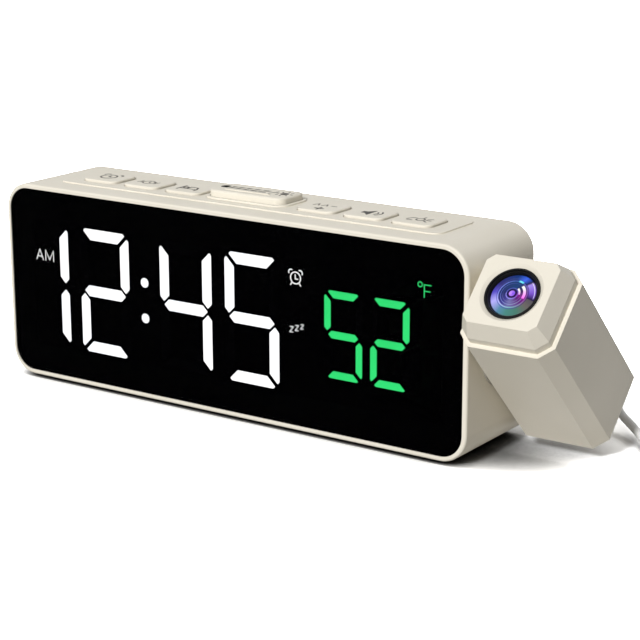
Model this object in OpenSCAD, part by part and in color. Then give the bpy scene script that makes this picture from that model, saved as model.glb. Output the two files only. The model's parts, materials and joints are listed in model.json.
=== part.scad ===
// Projection alarm clock: a rounded case with a wide LED display, six keys and a
// snooze bar on top, and a projector head that swings on a hollow pivot at its side.
// Millimetres, Z up. The origin is under the middle of the clock, on the table.

/* [Case] */
// Width of the case without the projector head
case_w = 169; // [168:1:200]
// Height of the case
case_h = 62; // [60:1:75]
// Depth of the case from the rim to the rear cover
case_d = 37; // [36:1:50]
// Radius of the case's four long corners
case_corner = 8.5; // [6:0.5:10]
// Wall of the case
case_wall = 2; // [1.6:0.1:2.6]
// Rounding of the case's front and rear edges
case_edge = 0.7; // [0.3:0.1:1.0]
// Height of the rubber feet below the case
foot_h = 1.1; // [0.8:0.1:3]
// Diameter of each rubber foot
foot_d = 9; // [6:0.5:11]

/* [Display] */
// Rim that shows round the display window
rim = 1.4; // [1.2:0.1:2]
// Depth of the window's face behind the rim
window_sink = 0.3; // [0.1:0.1:1]
// Thickness of the smoked window
window_t = 1.6; // [1:0.1:2.5]
// Width of the ledge that carries the window at its ends
ledge_w = 6.5; // [5:0.1:6.8]
// Thickness of that ledge
ledge_t = 1.4; // [1:0.1:2]
// Depth of the light box from the window to the board
light_box_t = 6.5; // [5:0.1:8]
// Thickness of the light-passing inserts
insert_t = 1.5; // [1:0.1:3]
// Width of a time digit
digit_w = 19.7; // [17:0.1:20]
// Height of a time digit
digit_h = 39.5; // [34:0.1:42]
// Stroke of a time digit
digit_stroke = 3.5; // [2.5:0.1:4]
// Distance between the two digits of a pair
digit_pitch = 24.65; // [22:0.05:25]
// Distance between the digits on either side of the colon
colon_pitch = 31.8; // [29:0.1:33]
// Left edge of the hours' first digit, from the middle of the case
time_left = -80.75; // [-81:0.05:-80]
// Radius of a colon dot
dot_r = 1.5; // [1:0.1:2]
// Width of a temperature digit
small_w = 13; // [11:0.1:14]
// Height of a temperature digit
small_h = 26; // [22:0.5:32]
// Stroke of a temperature digit
small_stroke = 2.4; // [1.8:0.1:2.8]
// Distance between the temperature digits
small_pitch = 15.7; // [14.5:0.1:16]
// Left edge of the first temperature digit, from the middle of the case
small_left = 36; // [34:0.1:37]
// How far the digits sit below the middle of the case
digit_drop = 0.65; // [0:0.05:1]

/* [Keys] */
// Width of a key
key_w = 13.2; // [11:0.1:14]
// Depth of a key
key_d = 12; // [10:0.1:13]
// Corner radius of a key
key_corner = 2.6; // [1.5:0.1:4]
// Height of a key above the raised field
key_rise = 0.8; // [0.6:0.05:1.2]
// Rounding of a key's upper edge
key_round = 0.5; // [0.3:0.05:0.7]
// Travel of a key
key_travel = 0.5; // [0.2:0.05:0.6]
// Distance between neighbouring keys
key_pitch = 16.35; // [16:0.05:17]
// Distance of the inner keys from the middle of the case
key_inner = 24.6; // [24:0.1:26]
// Distance of the key row behind the rim
key_y = 18.6; // [18:0.1:20]
// Height of the raised field round the keys
field_rise = 0.4; // [0.2:0.1:0.8]
// Width of the raised field
field_w = 139.6; // [138:0.1:144]
// Depth of the raised field
field_d = 21.2; // [20:0.1:24]
// Width of the snooze bar
bar_w = 27.7; // [24:0.1:29]
// Depth of the snooze bar
bar_d = 12.8; // [10:0.1:13]
// Height of the snooze bar above its plinth
bar_rise = 2; // [1:0.1:3]
// Height of the plinth round the snooze bar
plinth_rise = 0.5; // [0.3:0.1:1]
// Width of the plinth round the snooze bar
plinth_w = 1.2; // [0.8:0.1:1.6]
// Rounding of the snooze bar's upper edge
bar_round = 0.8; // [0.5:0.05:1]
// Travel of the snooze bar
bar_travel = 0.6; // [0.2:0.05:0.8]
// Gap round the keys and the bar
key_gap = 0.25; // [0.15:0.05:0.4]

/* [Projector head] */
// Width of the head, along the pivot
head_w = 28.6; // [27:0.1:32]
// Thickness of the head, front to back
head_t = 28; // [27:0.1:32]
// Length of the head's housing
head_l = 48.6; // [46:0.1:56]
// Width of the flats along the head's long edges
head_chamfer = 5.3; // [3:0.1:6]
// Wall of the head
head_wall = 1.8; // [1.4:0.1:2.2]
// Step from the housing to the cap
cap_step = 1.25; // [0.8:0.05:1.6]
// Height of the cap's straight neck
neck_h = 2.3; // [1.5:0.1:3]
// Height of the cap's tapered part
taper_h = 5.5; // [4:0.1:7]
// How far the taper draws each side in
taper_in = 2.0; // [1:0.1:2.4]
// Radius of the lens ring
ring_r = 7.8; // [7.5:0.1:8.2]
// Radius of the front lens
lens_r = 6.4; // [5.9:0.1:6.6]
// Gap between the case and the head
arm_gap = 1; // [0.8:0.1:2]
// Forward tilt of the head as it stands
head_tilt = 45; // [0:5:90]
// Radius of the hollow pivot shaft
pivot_r = 4.5; // [4:0.1:5]
// Radius of the wire way through the pivot shaft
wire_way_r = 2.4; // [2:0.1:3]
// Height of the pivot above the case's bottom
pivot_h = 30.1; // [28:0.1:33]

/* [Power lead] */
// Diameter of the lead
lead_d = 2.5; // [2:0.1:3]
// Mean diameter of the stored coil
coil_d = 28; // [25:1:34]
// Turns side by side and on top of each other in the coil
coil_rows = 4; // [3:1:5]
// Distance of the power socket from the middle of the case
jack_x = 65; // [62:0.5:67]
// Height of the power socket above the case's bottom
jack_h = 13; // [12:0.5:15]

/* [Hidden] */

$fn = 48;
cream = "#e2dccd";
black = "#17171a";
board_green = "#2f6b45";
steel = "#b9bcc0";
wire_grey = "#33343a";
insert_white = "#f2f4f2";

fit = 0.05;          // gap between fixed pieces that slide together
loose = 0.15;        // gap between a key's flange and the wall above it
running = 0.06;      // gap round the turning shaft
overcut = 1;         // how far a cut runs past the face that it opens

// where the case stands
cap_top = head_l / 2 + neck_h + taper_h;
cap_top_half = head_t / 2 - cap_step - taper_in;
pivot_y = case_d / 2;
reach_front = min(0, pivot_y - cap_top * sin(head_tilt) - cap_top_half * cos(head_tilt));
reach_rear = max(case_d, pivot_y + head_l / 2 * sin(head_tilt) + head_t / 2 * cos(head_tilt));
case_x = -(arm_gap + head_w) / 2;
case_y = -(reach_front + reach_rear) / 2;
head_x = case_w / 2 + arm_gap + head_w / 2;

// the layers behind the rim, front to back
window_w = case_w - 2 * rim;
window_h = case_h - 2 * rim;
window_back = window_sink + window_t;
ledge_back = window_back + ledge_t;
board_y = window_back + light_box_t;
board_t = 1.6;
board_back = board_y + board_t;
cover_t = 2.2;
cover_y = case_d - cover_t;
light_w = window_w - 2 * ledge_w - 1;
light_h = digit_h + 2;
display_z = case_h / 2 - digit_drop;

// fasteners, posts and feet
screw_r = 1.2;
screw_hole_r = 1.25;
head_r = 2.6;
cover_screw_l = 9;
post_r = 2.4;
corner_boss_r = 3.2;
corner_boss_in = max(6, case_corner - 2.5);
corner_x = case_w / 2 - corner_boss_in;
corner_z = case_h / 2 - corner_boss_in;
post_x = (window_w / 2 - ledge_w + case_w / 2 - case_wall) / 2;
post_z = 16;
foot_sink = 0.5;
foot_x = case_w / 2 - 16;
foot_y = 7.5;

// the keys
top_z = case_h + field_rise;
wall_under = case_h - case_wall;
flange_t = 0.9;
flange_out = 0.8;
switch_w = 6;
switch_h = 3.1;
stem_r = 2.2;
stem_end = wall_under - loose - flange_t - 3;
plunger_top = stem_end - max(key_travel, bar_travel) - 0.1;
plunger_h = 0.7;
plunger_r = 1.7;
key_board_z = plunger_top - plunger_h - switch_h - board_t;
bar_x = -1;
bar_y = 19.9;
bar_corner = key_corner + 0.4;
key_places = [-key_inner - 2 * key_pitch, -key_inner - key_pitch, -key_inner,
              key_inner, key_inner + key_pitch, key_inner + 2 * key_pitch];
key_post_rear = key_y + key_d / 2 + flange_out + post_r + 0.4;
key_post_end = key_inner + 2 * key_pitch + key_w / 2 + flange_out + post_r + 0.5;
key_posts = [[-key_inner, key_post_rear], [key_inner, key_post_rear],
             [-key_post_end, key_y], [key_post_end, key_y]];

// the pieces on the rear cover
speaker_x = -48;
speaker_r = 14;
speaker_lip = 1.6;
speaker_rim_t = 1;
basket_t = 3;
back_plate_r = 8.5;
back_plate_t = 0.8;
magnet_r = 7;
magnet_t = 2.4;
speaker_t = speaker_rim_t + basket_t + back_plate_t + magnet_t;
speaker_cup = 3;
battery_x = 12;
door_w = 25;
door_h = 33;
door_t = 1.2;
door_seat = 1.5;
door_screw_z = 3.7 - door_h / 2;
cell_r = 10;
cell_t = 3.2;
cell_z = door_h / 2 - door_seat - cell_r - 1;
cell_y = cover_y - cell_t - 0.2;
holder_t = 5.2;
socket_w = 9;
socket_h = 7;
socket_l = 12;
socket_grip = 6;
socket_y = case_d - 0.8 - socket_l;
barrel_r = 1.75;
pin_r = 0.6;
vent_x = 42;
vent_z = display_z - light_h / 2 - 0.6;

// the pivot, measured from the head's middle towards the case
pivot_boss_t = 2;
pivot_boss_r = 8;
inner_face = head_w / 2 - head_wall;
case_face = head_w / 2 + arm_gap;
boss_face = case_face + case_wall + pivot_boss_t;
washer_t = arm_gap - 0.3;
washer_r = 11;
spring_t = 0.9;
spring_r = 7.4;
clip_t = 0.8;
clip_r = 6.6;
clip_gap = 4.8;
groove_r = pivot_r - 0.7;
clip_at = boss_face + spring_t + 2 * fit;
shaft_end = clip_at + clip_t + 0.8;
shaft_flange_r = 7;
shaft_flange_t = 1.2;
key_lug_w = 2;
key_lug_r = pivot_r + 1.1;
recess_r = norm([key_lug_r, key_lug_w / 2]) + running;
stop_turn = 90 + 14;     // from straight up to either stop, with the lug's own half
wire_r = 1.1;
wire_meet = inner_face - shaft_flange_t - 0.4;

// the head, measured along the beam from the pivot
head_leg = head_chamfer / sqrt(2);
cavity_w = head_w - 2 * head_wall;
cavity_t = head_t - 2 * head_wall;
cavity_leg = head_leg - head_wall * (2 - sqrt(2));
cap_w = head_w - 2 * cap_step;
cap_t = head_t - 2 * cap_step;
cap_leg = head_leg - 0.8;
cap_top_leg = cap_leg - 0.95;
head_bottom = -head_l / 2;
led_board_z = head_bottom + head_wall;
light_r = 6.2;
condenser_r = 7.4;
panel_w = 15;
panel_h = 18;
panel_t = 1.2;
barrel_out = 6.9;
rear_lens_r = 5.75;
frame_z = shaft_flange_r + 0.2;
panel_z = frame_z + 3.6;
barrel_z = panel_z + panel_t + 0.8;
frame_top = barrel_z + 4.5;
ring_h = 2.6;
ring_z = cap_top - 0.35 - ring_h;

// the lead, from the plug to the coil on the table
plug_y = case_d + 0.3;
plug_l = 18;
relief_l = 11.7;
rest_z = lead_d / 2 - foot_h + 0.05;
coil_outer = coil_d / 2 + (coil_rows - 1) / 2 * lead_d;

// Sideways place, place along the plug and share of the fall, from the plug to the coil
lead_route = [[0, -6, 1], [0, 0, 1], [0, 6, 0.98], [2.5, 12, 0.94], [7, 16.5, 0.86],
              [13, 18, 0.77], [19, 15.5, 0.66], [24, 10, 0.56], [28.5, 3.5, 0.46],
              [33.5, -3.5, 0.36], [39, -10, 0.26], [44, -14.2, 0.18], [49, -18.8, 0.11],
              [54.5, -25, 0.05], [60.5, -33, 0.01], [64.5, -39.1, 0],
              [67.3, -43.65, 0], [71, -47.6, 0]];

// Share of the way to the USB plug sideways and along it, and of the fall from the coil's top
tail_route = [[-0.149, -0.089, 1], [0, 0, 1], [0.149, 0.089, 0.99], [0.435, 0.25, 0.88],
              [0.73, 0.44, 0.6], [0.92, 0.64, 0.28], [0.99, 0.83, 0.06], [1, 1, 0],
              [1, 1.17, 0]];

lead_end = lead_route[len(lead_route) - 2];
coil_x = jack_x + lead_end[0] + 0.8 * coil_outer;
coil_y = plug_y + plug_l + relief_l + lead_end[1] + 0.6 * coil_outer;
usb_x = coil_x + 5.3;
usb_y = coil_y + 38;
usb_w = 11;
usb_l = 20;
usb_h = 7.5;
usb_shell_w = 12;
usb_shell_h = 4.5;
usb_shell_t = 0.4;

// ---- shapes that repeat ----

// Rectangle with round corners
module rrect(w, h, r) {
    square([w - 2 * r, h], center = true);
    square([w, h - 2 * r], center = true);
    for (x = [-1, 1], y = [-1, 1])
        translate([x * (w / 2 - r), y * (h / 2 - r)]) circle(r);
}

// Rectangle with its corners cut at 45 degrees
module cut_rect(w, h, leg) {
    x = w / 2;
    y = h / 2;
    polygon([[x, leg - y], [x, y - leg], [x - leg, y], [leg - x, y],
             [-x, y - leg], [-x, leg - y], [leg - x, -y], [x - leg, -y]]);
}

module quarter_disc(r) {
    intersection() {
        circle(r);
        square(r);
    }
}

// Slab on z = 0 with corners of radius r and an upper edge rounded by e
module soft_slab(w, h, t, r, e) {
    linear_extrude(t - e) rrect(w, h, r);
    translate([0, 0, t - e]) linear_extrude(e) rrect(w - 2 * e, h - 2 * e, r - e);
    for (q = [[1, 1, 0], [-1, 1, 90], [-1, -1, 180], [1, -1, 270]])
        translate([q[0] * (w / 2 - r), q[1] * (h / 2 - r), t - e]) rotate([0, 0, q[2]])
            rotate_extrude(angle = 90) translate([r - e, 0]) quarter_disc(e);
    for (turn = [0, 180]) rotate([0, 0, turn]) {
        translate([w / 2 - e, h / 2 - r, t - e]) rotate([90, 0, 0])
            linear_extrude(h - 2 * r) quarter_disc(e);
        translate([r - w / 2, h / 2 - e, t - e]) rotate([90, 0, 90])
            linear_extrude(w - 2 * r) quarter_disc(e);
    }
}

// A drawing in the plane of the case's front, t deep from y on
module from_front(y, t) {
    translate([0, y + t, 0]) rotate([90, 0, 0]) linear_extrude(t) children();
}

// Disc or ring along X, from x on
module disc_x(x, t, r, hole = 0) {
    translate([x, 0, 0]) rotate([0, 90, 0]) difference() {
        cylinder(r = r, h = t);
        if (hole > 0) translate([0, 0, -overcut]) cylinder(r = hole, h = t + 2 * overcut);
    }
}

// Round lens on z = 0 with a domed top
module dome_lens(r, edge, rise) {
    ball = (r * r + rise * rise) / (2 * rise);
    intersection() {
        cylinder(r = r, h = edge + rise);
        translate([0, 0, edge + rise - ball]) sphere(r = ball, $fn = 144);
    }
}

// Cross-head screw that points to the front, its seat at the origin
module screw(length, r = head_r, t = 1.2) {
    rotate([90, 0, 0]) difference() {
        union() {
            cylinder(r = screw_r, h = length);
            translate([0, 0, -t]) cylinder(r1 = r * 0.8, r2 = r, h = t);
        }
        for (turn = [0, 90]) rotate([0, 0, turn]) translate([0, 0, -t])
            cube([r, 0.6, 1.2], center = true);
    }
}

// Frame of the case: the middle of its width, its front and its bottom
module case_frame() {
    translate([case_x, case_y, foot_h]) children();
}

// Frame of the head: the pivot's height and the head's middle, Z along the beam
module head_frame() {
    translate([case_x + head_x, case_y + pivot_y, foot_h + pivot_h])
        rotate([head_tilt, 0, 0]) children();
}

module at_corners(x, z) {
    for (sx = [-1, 1], sz = [-1, 1]) translate([sx * x, 0, case_h / 2 + sz * z]) children();
}

module at_rear(x, z) {
    translate([x, 0, z]) children();
}

// ---- case ----

module case_outer() {
    translate([0, case_d / 2, case_h / 2]) for (turn = [90, -90]) rotate([turn, 0, 0])
        soft_slab(case_w, case_h, case_d / 2, case_corner, case_edge);
}

module raised_field() {
    base = 1;
    translate([0, key_y + 0.4, case_h - base])
        soft_slab(field_w, field_d, base + field_rise, 3.3, 0.15);
    translate([bar_x, bar_y, case_h - base])
        soft_slab(bar_w + 2 * plinth_w, bar_d + 2 * plinth_w,
                  base + field_rise + plinth_rise, bar_corner + plinth_w, 0.25);
}

module case_hollow() {
    translate([0, 0, case_h / 2]) {
        from_front(-overcut, window_back + overcut)
            rrect(window_w, window_h, case_corner - rim);
        from_front(ledge_back, cover_y - ledge_back)
            rrect(case_w - 2 * case_wall, case_h - 2 * case_wall, case_corner - case_wall);
        from_front(cover_y, cover_t + overcut)
            rrect(window_w, window_h, case_corner - rim);
    }
    translate([0, 0, display_z]) from_front(window_back - overcut, ledge_t + 2 * overcut)
        rrect(window_w - 2 * ledge_w, light_h + 1, 3.5);
}

// Bosses for the rear cover's screws, ribbed to the walls
module corner_bosses() {
    rib = 1.2;
    reach = corner_boss_in - case_wall / 2;
    start = board_back + 0.5;
    at_corners(corner_x, corner_z) translate([0, start, 0]) rotate([-90, 0, 0])
        cylinder(r = corner_boss_r, h = cover_y - start);
    for (sx = [-1, 1], sz = [-1, 1])
        translate([sx * corner_x, start, case_h / 2 + sz * corner_z]) {
            translate([sx > 0 ? 0 : -reach, 0, -rib / 2])
                cube([reach, cover_y - start, rib]);
            translate([-rib / 2, 0, sz > 0 ? 0 : -reach])
                cube([rib, cover_y - start, reach]);
        }
}

module case_posts() {
    at_corners(post_x, post_z) translate([0, ledge_back, 0]) rotate([-90, 0, 0])
        cylinder(r = post_r, h = board_y - ledge_back);
    for (p = key_posts) translate([p[0], p[1], key_board_z + board_t])
        cylinder(r = post_r, h = wall_under - key_board_z - board_t + 0.5);
    translate([0, pivot_y, pivot_h])
        disc_x(case_w / 2 - case_wall - pivot_boss_t, pivot_boss_t + 0.5, pivot_boss_r);
}

module key_openings() {
    for (x = key_places) translate([x, key_y, wall_under - overcut])
        linear_extrude(case_wall + field_rise + 2 * overcut)
            rrect(key_w + 2 * key_gap, key_d + 2 * key_gap, key_corner + key_gap);
    translate([bar_x, bar_y, wall_under - overcut])
        linear_extrude(case_wall + field_rise + plinth_rise + 2 * overcut)
            rrect(bar_w + 2 * key_gap, bar_d + 2 * key_gap, bar_corner + key_gap);
}

// Disc whose upper sector is left out, so the lug runs between its two ends
module stop_recess() {
    far = 2 * recess_r;
    x = far * cos(stop_turn);
    y = far * sin(stop_turn);
    difference() {
        circle(recess_r);
        polygon([[0, 0], [x, y], [-far, y], [-far, -y], [x, -y]]);
    }
}

module case_holes() {
    bore = case_wall + pivot_boss_t;
    translate([0, pivot_y, pivot_h]) {
        disc_x(case_w / 2 - bore - overcut, bore + 2 * overcut, pivot_r + running);
        translate([case_w / 2 - case_wall, 0, 0]) rotate([0, 90, 0])
            linear_extrude(case_wall + overcut) stop_recess();
    }
    at_corners(corner_x, corner_z) translate([0, cover_y - 12, 0]) rotate([-90, 0, 0])
        cylinder(r = screw_hole_r, h = 12 + overcut);
    at_corners(post_x, post_z) translate([0, board_y - 4, 0]) rotate([-90, 0, 0])
        cylinder(r = screw_hole_r, h = 4 + overcut);
    for (p = key_posts) translate([p[0], p[1], key_board_z + board_t - overcut])
        cylinder(r = screw_hole_r, h = 5 + overcut);
    for (x = [-foot_x, foot_x], y = [foot_y, case_d - foot_y])
        translate([x, y, -overcut]) cylinder(d = foot_d + 2 * fit, h = foot_sink + overcut);
}

module case_shell() {
    color(cream) case_frame() difference() {
        union() {
            difference() {
                union() {
                    case_outer();
                    raised_field();
                }
                case_hollow();
            }
            corner_bosses();
            case_posts();
        }
        key_openings();
        case_holes();
    }
}

module rubber_feet() {
    color("#5c5a56") case_frame() for (x = [-foot_x, foot_x], y = [foot_y, case_d - foot_y])
        translate([x, y, -foot_h]) cylinder(d = foot_d, h = foot_h + foot_sink);
}

// ---- rear cover and the pieces on it ----

// Speaker holes: one in the middle and rings of 6 and 12 round it
module grille() {
    hole = 0.9;
    step = 3.9;
    circle(hole);
    for (ring = [1, 2], i = [0:6 * ring - 1]) rotate(i * 60 / ring)
        translate([ring * step, 0]) circle(hole);
}

module rear_cover() {
    cut_t = cover_t + 2 * overcut;
    color(cream) case_frame() difference() {
        union() {
            translate([0, 0, case_h / 2]) from_front(cover_y, cover_t)
                rrect(window_w - 2 * fit, window_h - 2 * fit, case_corner - rim - fit);
            at_rear(speaker_x, case_h / 2) from_front(cover_y - speaker_cup, speaker_cup + 0.5)
                difference() {
                    circle(speaker_r + 1.4);
                    circle(speaker_r + fit);
                }
            at_rear(jack_x, jack_h) from_front(cover_y - socket_grip, socket_grip + 0.5)
                square([socket_w + 2.4, socket_h + 2.4], center = true);
        }
        at_corners(corner_x, corner_z) translate([0, cover_y, 0]) rotate([-90, 0, 0]) {
            translate([0, 0, -overcut]) cylinder(r = screw_r + 0.3, h = cut_t);
            translate([0, 0, 0.8]) cylinder(r = head_r + 0.3, h = cover_t);
        }
        at_rear(speaker_x, case_h / 2) from_front(cover_y - overcut, cut_t) grille();
        at_rear(jack_x, jack_h)
            from_front(cover_y - socket_grip - overcut, socket_grip + cut_t)
                square([socket_w + 2 * fit, socket_h + 2 * fit], center = true);
        at_rear(battery_x, case_h / 2) {
            from_front(cover_y - overcut, cut_t)
                rrect(door_w - 2 * door_seat, door_h - 2 * door_seat, 1.5);
            from_front(case_d - door_t, door_t + overcut) rrect(door_w + 0.3, door_h + 0.3, 2.15);
        }
        for (i = [0:5]) at_rear(vent_x + (i - 2.5) * 3, vent_z)
            from_front(cover_y - overcut, cut_t) rrect(1.2, 7, 0.55);
    }
}

module case_screws() {
    color(steel) case_frame() at_corners(corner_x, corner_z)
        translate([0, cover_y + 0.8, 0]) screw(cover_screw_l);
}

module speaker_basket() {
    color("#3a3b3f") case_frame() translate([speaker_x, cover_y, case_h / 2])
        rotate([90, 0, 0]) difference() {
            union() {
                cylinder(r = speaker_r, h = speaker_rim_t);
                translate([0, 0, speaker_rim_t])
                    cylinder(r1 = speaker_r - 0.8, r2 = back_plate_r, h = basket_t);
            }
            translate([0, 0, -overcut])
                cylinder(r = speaker_r - speaker_lip, h = speaker_rim_t + overcut);
            translate([0, 0, speaker_rim_t - 0.01])
                cylinder(r1 = speaker_r - speaker_lip, r2 = back_plate_r - 0.8,
                         h = basket_t + 0.1);
        }
}

module speaker_cone() {
    edge = speaker_r - speaker_lip - 0.1;
    low = speaker_rim_t + basket_t - 0.6;
    t = 0.4;
    color("#1d1d20") case_frame() translate([speaker_x, cover_y, case_h / 2])
        rotate([90, 0, 0]) rotate_extrude()
            polygon([[0, 0.35 * low], [0.28 * edge, 0.65 * low], [0.58 * edge, low],
                     [edge, 0.6], [edge, 0.9], [0.58 * edge, low + t],
                     [0.28 * edge, 0.65 * low + t], [0, 0.35 * low + t]]);
}

module speaker_magnet() {
    color("#77797d") case_frame()
        translate([speaker_x, cover_y - speaker_rim_t - basket_t, case_h / 2])
            rotate([90, 0, 0]) {
                cylinder(r = back_plate_r, h = back_plate_t);
                translate([0, 0, back_plate_t]) cylinder(r = magnet_r, h = magnet_t);
            }
}

contact_t = 0.4;
contact_w = 3;

module battery_holder() {
    color("#2b2b2e") case_frame() at_rear(battery_x, case_h / 2) difference() {
        from_front(cover_y - holder_t, holder_t) rrect(door_w + 2, door_h + 2, 2);
        translate([0, 0, cell_z]) from_front(cell_y, holder_t) circle(cell_r + 0.2);
        translate([0, cell_y - contact_t, cell_z]) contact_space(fit);
        translate([0, cover_y + overcut, door_screw_z]) rotate([90, 0, 0])
            cylinder(r = screw_hole_r, h = holder_t + overcut - 0.6);
    }
}

// Strip under the cell and clip beside it, grown by g
module contact_space(g) {
    strip = 1.6 * cell_r;
    translate([-contact_w / 2 - g, 0, -strip / 2]) cube([contact_w + 2 * g, contact_t, strip]);
    translate([cell_r + 0.2 - g, contact_t, -contact_w / 2 - g])
        cube([contact_t + g, cell_t, contact_w + 2 * g]);
}

module battery_contacts() {
    color("#c8b27a") case_frame() translate([battery_x, cell_y - contact_t, case_h / 2 + cell_z])
        contact_space(0);
}

module coin_cell() {
    color("#c9cbce") case_frame() translate([battery_x, cell_y, case_h / 2 + cell_z])
        rotate([-90, 0, 0]) {
            cylinder(r = cell_r - 0.9, h = 0.3);
            translate([0, 0, 0.3]) cylinder(r = cell_r, h = cell_t - 0.3);
        }
}

module battery_door() {
    color(cream) case_frame() at_rear(battery_x, case_h / 2) difference() {
        union() {
            from_front(case_d - door_t, door_t) rrect(door_w, door_h, 2);
            from_front(cover_y + 0.1, cover_t - door_t)
                rrect(door_w - 2 * door_seat - 0.3, door_h - 2 * door_seat - 0.3, 1.4);
        }
        translate([0, cover_y, door_screw_z]) rotate([-90, 0, 0]) {
            translate([0, 0, -overcut]) cylinder(r = screw_r + 0.2, h = cover_t + 2 * overcut);
            translate([0, 0, 1]) cylinder(r = 2.3, h = cover_t);
        }
    }
}

module battery_door_screw() {
    color(steel) case_frame()
        translate([battery_x, cover_y + 1, case_h / 2 + door_screw_z]) screw(4.6, 2.1, 1);
}

module power_socket() {
    color(black) case_frame() translate([jack_x, socket_y, jack_h]) rotate([-90, 0, 0])
        difference() {
            translate([-socket_w / 2, -socket_h / 2, 0]) cube([socket_w, socket_h, socket_l]);
            translate([0, 0, socket_l - 10]) difference() {
                cylinder(r = barrel_r + 0.1, h = 10 + overcut);
                cylinder(r = pin_r, h = 9.2);
            }
        }
}

// ---- display ----

// Outline of one segment of a digit of width w, height h and stroke t
function segment(s, w, h, t) =
    let (c = 0.2 * t, e = c + 0.9, m = 0.43 * t, half = h / 2,
         top = [[e, h - c], [e + c, h], [w - e - c, h], [w - e, h - c],
                [w - e - t + c, h - t], [e + t - c, h - t]],
         right = [[w - c, h - e], [w - t, h - e - t + c], [w - t, half + 1 + t - m],
                  [w - m, half + 1], [w, half + 1 + m], [w, h - e - c]],
         mid = [[e, half], [e + t / 2, half + t / 2], [w - e - t / 2, half + t / 2],
                [w - e, half], [w - e - t / 2, half - t / 2], [e + t / 2, half - t / 2]])
    s == "a" ? top :
    s == "b" ? right :
    s == "c" ? [for (p = right) [p[0], h - p[1]]] :
    s == "d" ? [for (p = top) [p[0], h - p[1]]] :
    s == "e" ? [for (p = right) [w - p[0], h - p[1]]] :
    s == "f" ? [for (p = right) [w - p[0], p[1]]] : mid;

// Middle of a segment, where its LED sits
function led_place(s, w, h, t) =
    s == "a" ? [w / 2, h - t / 2] :
    s == "b" ? [w - t / 2, 0.75 * h] :
    s == "c" ? [w - t / 2, 0.25 * h] :
    s == "d" ? [w / 2, t / 2] :
    s == "e" ? [t / 2, 0.25 * h] :
    s == "f" ? [t / 2, 0.75 * h] : [w / 2, h / 2];

// Segments: a top, b and c right, d bottom, e and f left, g middle
every = ["a", "b", "c", "d", "e", "f", "g"];

// Each digit: left edge, width, height, stroke and segments
hour_tens = [time_left, digit_w, digit_h, digit_stroke, ["b", "c"]];
hour_ones = [time_left + digit_pitch, digit_w, digit_h, digit_stroke, every];
minute_tens = [hour_ones[0] + colon_pitch, digit_w, digit_h, digit_stroke, every];
minute_ones = [minute_tens[0] + digit_pitch, digit_w, digit_h, digit_stroke, every];
temp_tens = [small_left, small_w, small_h, small_stroke, every];
temp_ones = [small_left + small_pitch, small_w, small_h, small_stroke, every];
digits = [hour_tens, hour_ones, minute_tens, minute_ones, temp_tens, temp_ones];
colon_x = hour_ones[0] + (digit_w + colon_pitch) / 2;
dot_z = 5.6;

// Indicator windows, half day, alarm, nap and degree: place from the middle of the
// display, width and height
half_day_x = hour_tens[0] + digit_w / 2;
alarm_x = minute_ones[0] + digit_w + 5.95;
degree_x = temp_ones[0] + small_w + 4.5;
indicators = [[half_day_x, 9, 8.6, 4.8], [alarm_x, digit_h / 2 - 4.8, 6.4, 6.4],
              [alarm_x, 0, 6.6, 4.8], [degree_x, digit_h / 2 - 2.25, 5.4, 5.2]];

module digit_face(d) {
    for (s = d[4]) translate([d[0], display_z - d[2] / 2])
        polygon(segment(s, d[1], d[2], d[3]));
}

module colon_face() {
    for (z = [-dot_z, dot_z]) translate([colon_x, display_z + z]) circle(dot_r);
}

module indicator_face() {
    for (i = indicators) translate([i[0], display_z + i[1]]) rrect(i[2], i[3], 0.8);
}

module insert() {
    color(insert_white) case_frame() from_front(window_back, insert_t) children();
}

module hour_tens_digit() { insert() digit_face(hour_tens); }
module hour_ones_digit() { insert() digit_face(hour_ones); }
module minute_tens_digit() { insert() digit_face(minute_tens); }
module minute_ones_digit() { insert() digit_face(minute_ones); }
module temperature_tens_digit() { insert() digit_face(temp_tens); }
module temperature_ones_digit() { insert() digit_face(temp_ones); }
module colon_dots() { insert() colon_face(); }
module indicator_windows() { insert() indicator_face(); }

module display_window() {
    color([0.05, 0.05, 0.06, 0.6]) case_frame() translate([0, 0, case_h / 2])
        from_front(window_sink, window_t)
            rrect(window_w - 2 * fit, window_h - 2 * fit, case_corner - rim - fit);
}

module light_box() {
    color(black) case_frame() from_front(window_back, light_box_t) difference() {
        translate([0, display_z]) rrect(light_w, light_h, 3);
        for (d = digits) digit_face(d);
        colon_face();
        indicator_face();
    }
}

// Cut back at the right, where the pivot's boss stands in its way from the rear
module main_board() {
    half = case_w / 2 - case_wall - 0.5;
    color(board_green) case_frame() difference() {
        translate([-half, board_y, display_z - light_h / 2]) cube([2 * half, board_t, light_h]);
        translate([half - 2.2, board_y - overcut, pivot_h - pivot_boss_r - 0.5])
            cube([4, board_t + 2 * overcut, 2 * pivot_boss_r + 1]);
        at_corners(post_x, post_z) translate([0, board_y - overcut, 0]) rotate([-90, 0, 0])
            cylinder(r = screw_r + 0.15, h = board_t + 2 * overcut);
    }
}

module display_leds() {
    led = [1.6, 0.8, 1.2];
    places = concat(
        [for (d = digits, s = d[4]) let (p = led_place(s, d[1], d[2], d[3]))
            [d[0] + p[0], p[1] - d[2] / 2]],
        [[colon_x, -dot_z], [colon_x, dot_z]],
        [for (i = indicators) [i[0], i[1]]]);
    color("#f0e9b8") case_frame() for (p = places)
        translate([p[0] - led[0] / 2, board_y - led[1], display_z + p[1] - led[2] / 2])
            cube(led);
}

module control_chip() {
    color("#202024") case_frame() translate([-18, board_back, case_h / 2 - 8])
        cube([14, 1.6, 14]);
}

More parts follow.
